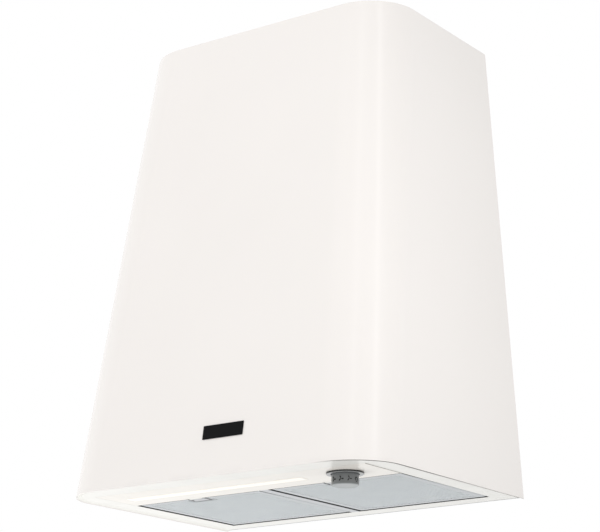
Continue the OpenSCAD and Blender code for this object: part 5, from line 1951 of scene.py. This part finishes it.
class ScrewRecipe(Recipe):
    """Screws on points: each point carries the way its head faces, and its head's and shank's sizes."""

    def __init__(self) -> None:
        """Builds the tree."""
        super().__init__("screw_set")
        head, shank = self.ask("Head shape", "Object"), self.ask("Shank shape", "Object")
        seed, most = self.ask("Seed", "Int"), self.ask("Largest turn", "Float")
        finish = self.ask("Finish", "Material")
        vector = {"data_type": "FLOAT_VECTOR"}
        facing = self.node("GeometryNodeInputNamedAttribute", vector, {"Name": "facing"})
        turns = {2: 0.0, 3: most, "Seed": seed}
        spin = self.node("FunctionNodeRandomValue", {"data_type": "FLOAT"}, turns, out=1)
        aim = self.node("FunctionNodeAlignRotationToVector", {"axis": "Z"}, {"Vector": facing})
        twist = self.node("FunctionNodeAxisAngleToRotation", None, {"Axis": (0.0, 0.0, 1.0), "Angle": spin})
        turn = self.node("FunctionNodeRotateRotation", {"rotation_space": "LOCAL"}, {0: aim, 1: twist})
        shapes = []
        for shape, name in ((head, "head_size"), (shank, "shank_size")):
            size = self.node("GeometryNodeInputNamedAttribute", vector, {"Name": name})
            solid = self.node("GeometryNodeObjectInfo", None, {"Object": shape}, out="Geometry")
            inputs = {"Points": self.source(), "Instance": solid, "Rotation": turn, "Scale": size}
            shapes.append(self.node("GeometryNodeInstanceOnPoints", None, inputs))
        self.end(self.together(shapes), finish)


@dataclass
class Fasteners:
    """Every group of screws, with domed heads and cross recesses."""

    groups: tuple[str, ...] = (
        "casing_screws", "panel_screws", "blower_screws", "outlet_screws", "box_screws",
    )
    sides: int = 24
    shank_sides: int = 16
    threads: int = 6
    recess_long: float = 0.56
    recess_wide: float = 0.15
    recess_deep: float = 0.62
    edge_drop: float = 0.42
    seed: int = 7

    def add_rings(self, work: bmesh.types.BMesh, profile: Outline,
                  sides: int) -> list[list[bmesh.types.BMVert]]:
        """Turns a profile of radius and height round the z axis.

        Args:
            work: The mesh being made.
            profile: Radius and height of each ring.
            sides: Faces round the axis.

        Returns:
            The rings' points.
        """
        round_z = [(math.cos(a), math.sin(a)) for a in circle(sides)]
        rings = [[work.verts.new((r * x, r * y, z)) for x, y in round_z] for r, z in profile]
        stitch(work, rings, around=True)
        return rings

    def head_shape(self) -> bpy.types.Object:
        """A head of radius 1 and height 1 on the plane z = 0: round rim, domed top, cross recess.

        Returns:
            The head, held out of sight.
        """
        work = bmesh.new()
        profile = [(1.0, 0.0), (1.0, 1 - self.edge_drop), (0.93, 1 - self.edge_drop * 0.45), (0.78, 1.0)]
        rings = self.add_rings(work, profile, self.sides)
        work.faces.new(rings[0][::-1])
        long, wide = self.recess_long, self.recess_wide
        cross = [(long, -wide), (long, wide), (wide, wide), (wide, long), (-wide, long), (-wide, wide),
                 (-long, wide), (-long, -wide), (-wide, -wide), (-wide, -long), (wide, -long), (wide, -wide)]
        rim = [work.verts.new((x, y, 1.0)) for x, y in cross]
        floor = [work.verts.new((x * 0.72, y * 0.72, 1 - self.recess_deep)) for x, y in cross]
        work.faces.new(floor)
        edges = []
        for k in range(len(rim)):
            following = (k + 1) % len(rim)
            work.faces.new([rim[k], rim[following], floor[following], floor[k]])
            edges.append(work.edges.get((rim[k], rim[following])))
        top = [work.edges.get((rings[-1][k], rings[-1][(k + 1) % self.sides])) for k in range(self.sides)]
        bmesh.ops.triangle_fill(work, edges=edges + top, use_beauty=True)
        return shape_object("screw_head", from_bmesh(work, "screw_head", 32))

    def shank_shape(self) -> bpy.types.Object:
        """A shank of radius 1 from z = 0 to z = -1, with thread rings and a chamfered tip.

        Returns:
            The shank, held out of sight.
        """
        work = bmesh.new()
        profile = [(0.96, 0.0)]
        for k in range(self.threads):
            base = -0.9 * k / self.threads
            profile += [(1.0, base - 0.05), (0.86, base - 0.11)]
        profile.append((0.6, -1.0))
        rings = self.add_rings(work, profile, self.shank_sides)
        work.faces.new(rings[0])
        work.faces.new(rings[-1])
        return shape_object("screw_shank", from_bmesh(work, "screw_shank", 40))

    def screw_sizes(self, points: np.ndarray) -> tuple[Vector, Vector, Vector, Vector]:
        """Reads a screw's place and sizes from its solid.

        Args:
            points: The solid's points.

        Returns:
            The seat below the head, the way the head faces, and the sizes of head and shank.
        """
        low, high = points.min(axis=0), points.max(axis=0)
        size = high - low
        axis = turning_axis(size)
        middle = (low + high) / 2
        across = [(axis + 1) % 3, (axis + 2) % 3]
        radius = np.hypot(points[:, across[0]] - middle[across[0]], points[:, across[1]] - middle[across[1]])
        wide = radius.max()
        head = points[radius > 0.97 * wide][:, axis]
        shank = radius[radius < 0.9 * wide]
        outwards = 1.0 if high[axis] - head.max() < head.min() - low[axis] else -1.0
        seat = Vector(middle)
        seat[axis] = head.min() if outwards > 0 else head.max()
        facing = Vector((0, 0, 0))
        facing[axis] = outwards
        tall = high[axis] - seat[axis] if outwards > 0 else seat[axis] - low[axis]
        thin = shank[shank > 0.2 * wide].max() if len(shank) else 0.5 * wide
        return seat, facing, Vector((wide, wide, tall)), Vector((thin, thin, size[axis] - tall))

    def seed_mesh(self, node: str) -> bpy.types.Mesh:
        """Points at the seats of a group's screws, with the attributes that the recipe reads.

        Args:
            node: The group's part name.

        Returns:
            The points as a mesh.
        """
        rows = [self.screw_sizes(points) for points in solids(node)]
        mesh = bpy.data.meshes.new(node + "_seats")
        mesh.from_pydata([row[0][:] for row in rows], [], [])
        for column, name in ((1, "facing"), (2, "head_size"), (3, "shank_size")):
            layer = mesh.attributes.new(name, "FLOAT_VECTOR", "POINT")
            for k, row in enumerate(rows):
                layer.data[k].vector = row[column]
        return mesh

    def build(self) -> None:
        """Adds every group of screws."""
        recipe = ScrewRecipe()
        head, shank = self.head_shape(), self.shank_shape()
        for node in self.groups:
            values = {"Head shape": head, "Shank shape": shank, "Seed": self.seed,
                      "Largest turn": math.pi / 2, "Finish": Looks.steel.material()}
            mesh = recipe.run(self.seed_mesh(node), values)
            add_piece(node + "_cross", smooth(mesh, 32), Looks.steel, "hood", [node])
        bpy.data.objects.remove(head)
        bpy.data.objects.remove(shank)


class LeadRecipe(Recipe):
    """A round lead along a broken line, with bent corners."""

    def __init__(self) -> None:
        """Builds the tree."""
        super().__init__("round_lead")
        radius, bend = self.ask("Radius", "Float"), self.ask("Bend", "Float")
        finish = self.ask("Finish", "Material")
        path = self.node("GeometryNodeMeshToCurve", None, {"Mesh": self.source()})
        corners = {"Curve": path, "Radius": bend, "Limit Radius": True, "Count": 8}
        bent = self.node("GeometryNodeFilletCurve", {"mode": "POLY"}, corners)
        ring = self.node("GeometryNodeCurvePrimitiveCircle", None, {"Resolution": 14, "Radius": radius})
        tube = self.node("GeometryNodeCurveToMesh", None,
                         {"Curve": bent, "Profile Curve": ring, "Fill Caps": True})
        self.end(tube, finish)


@dataclass
class Wiring:
    """The three leads inside, each clipped along its whole way."""

    radius: float = 2.45
    bend: float = 5.0
    lamp: tuple = ((-170, -17, 150), (-170, -17, 6), (-228, -17, 6), (-228, -297, 6), (-228, -297, 17),
                   (-194.7, -297, 17))
    switch: tuple = ((-100, -17, 150), (-100, -17, 6), (228, -17, 6), (228, -300, 6), (228, -300, 17),
                     (172, -300, 17))
    motor: tuple = ((-100, -4, 240), (-100, -4, 300), (82, -4, 300), (82, -4, 455), (82, -99.5, 455),
                    (76, -123.5, 476), (76, -175.5, 446), (73, -175.5, 446))

    def build(self) -> None:
        """Adds the three leads as one piece."""
        recipe = LeadRecipe()
        seed = bpy.data.meshes.new("lead_routes")
        points, edges = [], []
        for route in (self.lamp, self.switch, self.motor):
            first = len(points)
            points += [mm(*spot)[:] for spot in route]
            edges += [(first + k, first + k + 1) for k in range(len(route) - 1)]
        seed.from_pydata(points, edges, [])
        values = {"Radius": self.radius * MM, "Bend": self.bend * MM, "Finish": Looks.sheath.material()}
        mesh = smooth(recipe.run(seed, values), 60)
        add_piece("lead_sheaths", mesh, Looks.sheath, "hood", ["inner_leads"])


@dataclass
class Inside:
    """Everything behind the filters that keeps its shape: blower, motor, control box and back plate."""

    parts: tuple[str, ...] = (
        "back_plate", "blower_bracket_left", "blower_bracket_right", "motor_bracket", "scroll_left",
        "scroll_right", "inlet_guard", "outlet_adapter", "impeller", "motor_shaft", "rotor", "stator",
        "motor_can", "motor_cap", "motor_bearings", "control_box", "control_box_lid", "circuit_board",
        "capacitor", "transformer", "terminal_block",
    )

    def build(self) -> None:
        """Dresses each part by its slot."""
        for node in self.parts:
            dress_part(node, Looks.slots[part_slot(node)])


@dataclass
class SoftBox:
    """A soft rectangular studio light."""

    name: str
    place: tuple[float, float, float]
    aim: tuple[float, float, float]
    width: float
    height: float
    power: float
    lean: tuple[float, float, float] = (0.0, 0.0, 1.0)
    mirrored: bool = False

    def build(self) -> None:
        """Hangs the light, with its height along the lean, and out of reflections where it isn't mirrored."""
        lamp = bpy.data.lights.new(self.name, "AREA")
        lamp.shape = "RECTANGLE"
        lamp.size = self.width
        lamp.size_y = self.height
        lamp.energy = self.power
        holder = link_object(self.name, lamp)
        back = (Vector(self.place) - Vector(self.aim)).normalized()
        side = Vector(self.lean).cross(back).normalized()
        turn = Matrix((side, back.cross(side), back)).transposed()
        holder.matrix_world = Matrix.Translation(self.place) @ turn.to_4x4()
        holder.visible_glossy = self.mirrored


@dataclass
class Studio:
    """White studio: background, floor, soft lights and the camera."""

    camera_place: tuple[float, float, float] = (1.50037, -2.34666, -0.88287)
    azimuth: float = 34.55
    elevation: float = -16.17
    roll: float = -0.31
    lens: float = 118.53
    sky: float = 0.7
    sky_color: Color = (1.0, 0.995, 0.985, 1.0)
    floor_dark: Color = (0.84, 0.84, 0.84, 1.0)
    floor_light: Color = (0.88, 0.88, 0.88, 1.0)
    floor_white: float = 0.9
    floor_z: float = -4.0
    floor_half: float = 12.0
    lights: list[SoftBox] = field(default_factory=lambda: [
        SoftBox("front_light", (-1.4, -3.3, 1.6), (0.0, -0.2, -0.1), 2.4, 2.4, 42.0),
        SoftBox("side_light", (0.85, -0.44, -0.12), (0.25, -0.25, -0.15), 0.4, 0.8, 1.5),
        SoftBox("under_light", (-0.62, -0.4, -1.2), (-0.1, -0.2, -0.44), 0.6, 0.6, 4.1),
        SoftBox("corner_strip", (2.58, -0.99, 1.51), (0.2, -0.3, -0.1), 0.25, 2.4, 2.8,
                (-0.6, -0.52, 1.06), True),
        SoftBox("weak_strip", (1.26, -2.41, 1.7), (0.2, -0.3, -0.1), 0.2, 2.0, 1.0, (-0.3, -0.3, 1.0), True),
    ])

    def build_world(self) -> None:
        """White for what the eye sees directly, in metal or through glass; softer for the light it gives."""
        world = bpy.data.worlds.new("studio")
        world.use_nodes = True
        bpy.context.scene.world = world
        graph = Graph(world.node_tree)
        world.node_tree.nodes.clear()
        seen = graph.seen()
        glow = graph.node("ShaderNodeBackground", None, {"Color": self.sky_color, "Strength": self.sky})
        white = graph.node("ShaderNodeBackground", None, {"Color": WHITE, "Strength": 1.0})
        both = graph.node("ShaderNodeMixShader", None, {0: seen, 1: glow, 2: white})
        end = world.node_tree.nodes.new("ShaderNodeOutputWorld")
        graph.feed(end.inputs["Surface"], both)

    def build_floor(self) -> None:
        """Lays a pale floor far below the hood, which hangs on a wall."""
        mesh = bpy.data.meshes.new("floor")
        h = self.floor_half
        corners = [(-h, -h, self.floor_z), (h, -h, self.floor_z), (h, h, self.floor_z), (-h, h, self.floor_z)]
        mesh.from_pydata(corners, [], [(0, 1, 2, 3)])
        floor = link_object("floor", mesh)
        paint = bpy.data.materials.new("pale_floor")
        paint.use_nodes = True
        graph = Graph(paint.node_tree)
        shader = paint.node_tree.nodes["Principled BSDF"]
        grain = graph.noise(graph.place(), 0.4, 3.0)
        graph.feed(shader.inputs["Base Color"], graph.blend(grain, self.floor_dark, self.floor_light))
        shader.inputs["Roughness"].default_value = 0.8
        seen = graph.seen()
        white = graph.node("ShaderNodeEmission", None, {"Color": WHITE, "Strength": 1.0})
        matt = Wire(graph, shader.outputs[0])
        both = graph.node("ShaderNodeMixShader", None, {0: seen * self.floor_white, 1: matt, 2: white})
        graph.feed(paint.node_tree.nodes["Material Output"].inputs["Surface"], both)
        mesh.materials.append(paint)

    def build_camera(self) -> None:
        """Sets the camera at the photo's place and angle."""
        a, e, r = (math.radians(v) for v in (self.azimuth, self.elevation, self.roll))
        back = Vector((math.sin(a) * math.cos(e), -math.cos(a) * math.cos(e), math.sin(e)))
        level = (-back).cross(Vector((0, 0, 1))).normalized()
        upright = level.cross(-back)
        right = math.cos(r) * level + math.sin(r) * upright
        up = math.cos(r) * upright - math.sin(r) * level
        turn = Matrix((right, up, back)).transposed()
        data = bpy.data.cameras.new("camera")
        data.lens = self.lens
        data.sensor_width = 36.0
        data.sensor_fit = "HORIZONTAL"
        data.clip_end = 100.0
        camera = link_object("camera", data)
        camera.matrix_world = Matrix.Translation(self.camera_place) @ turn.to_4x4()
        bpy.context.scene.camera = camera

    def build(self) -> None:
        """Sets up the whole studio."""
        bpy.context.scene.view_settings.view_transform = "Standard"
        self.build_camera()
        self.build_world()
        self.build_floor()
        for light in self.lights:
            light.build()


def main() -> None:
    """Builds the hood piece by piece."""
    logging.basicConfig(level=logging.INFO, format="%(message)s")
    Studio().build()
    casing = Casing()
    casing.build()
    Underside(casing).build()
    Badge().build()
    Lamp().build()
    Knob().build()
    net, coil = NetRecipe(), CoilRecipe()
    for side in Side:
        FilterUnit(side, net, coil).build()
    TopFittings().build()
    Wiring().build()
    RubberMounts().build()
    Inside().build()
    Fasteners().build()


if __name__ == "__main__":
    main()
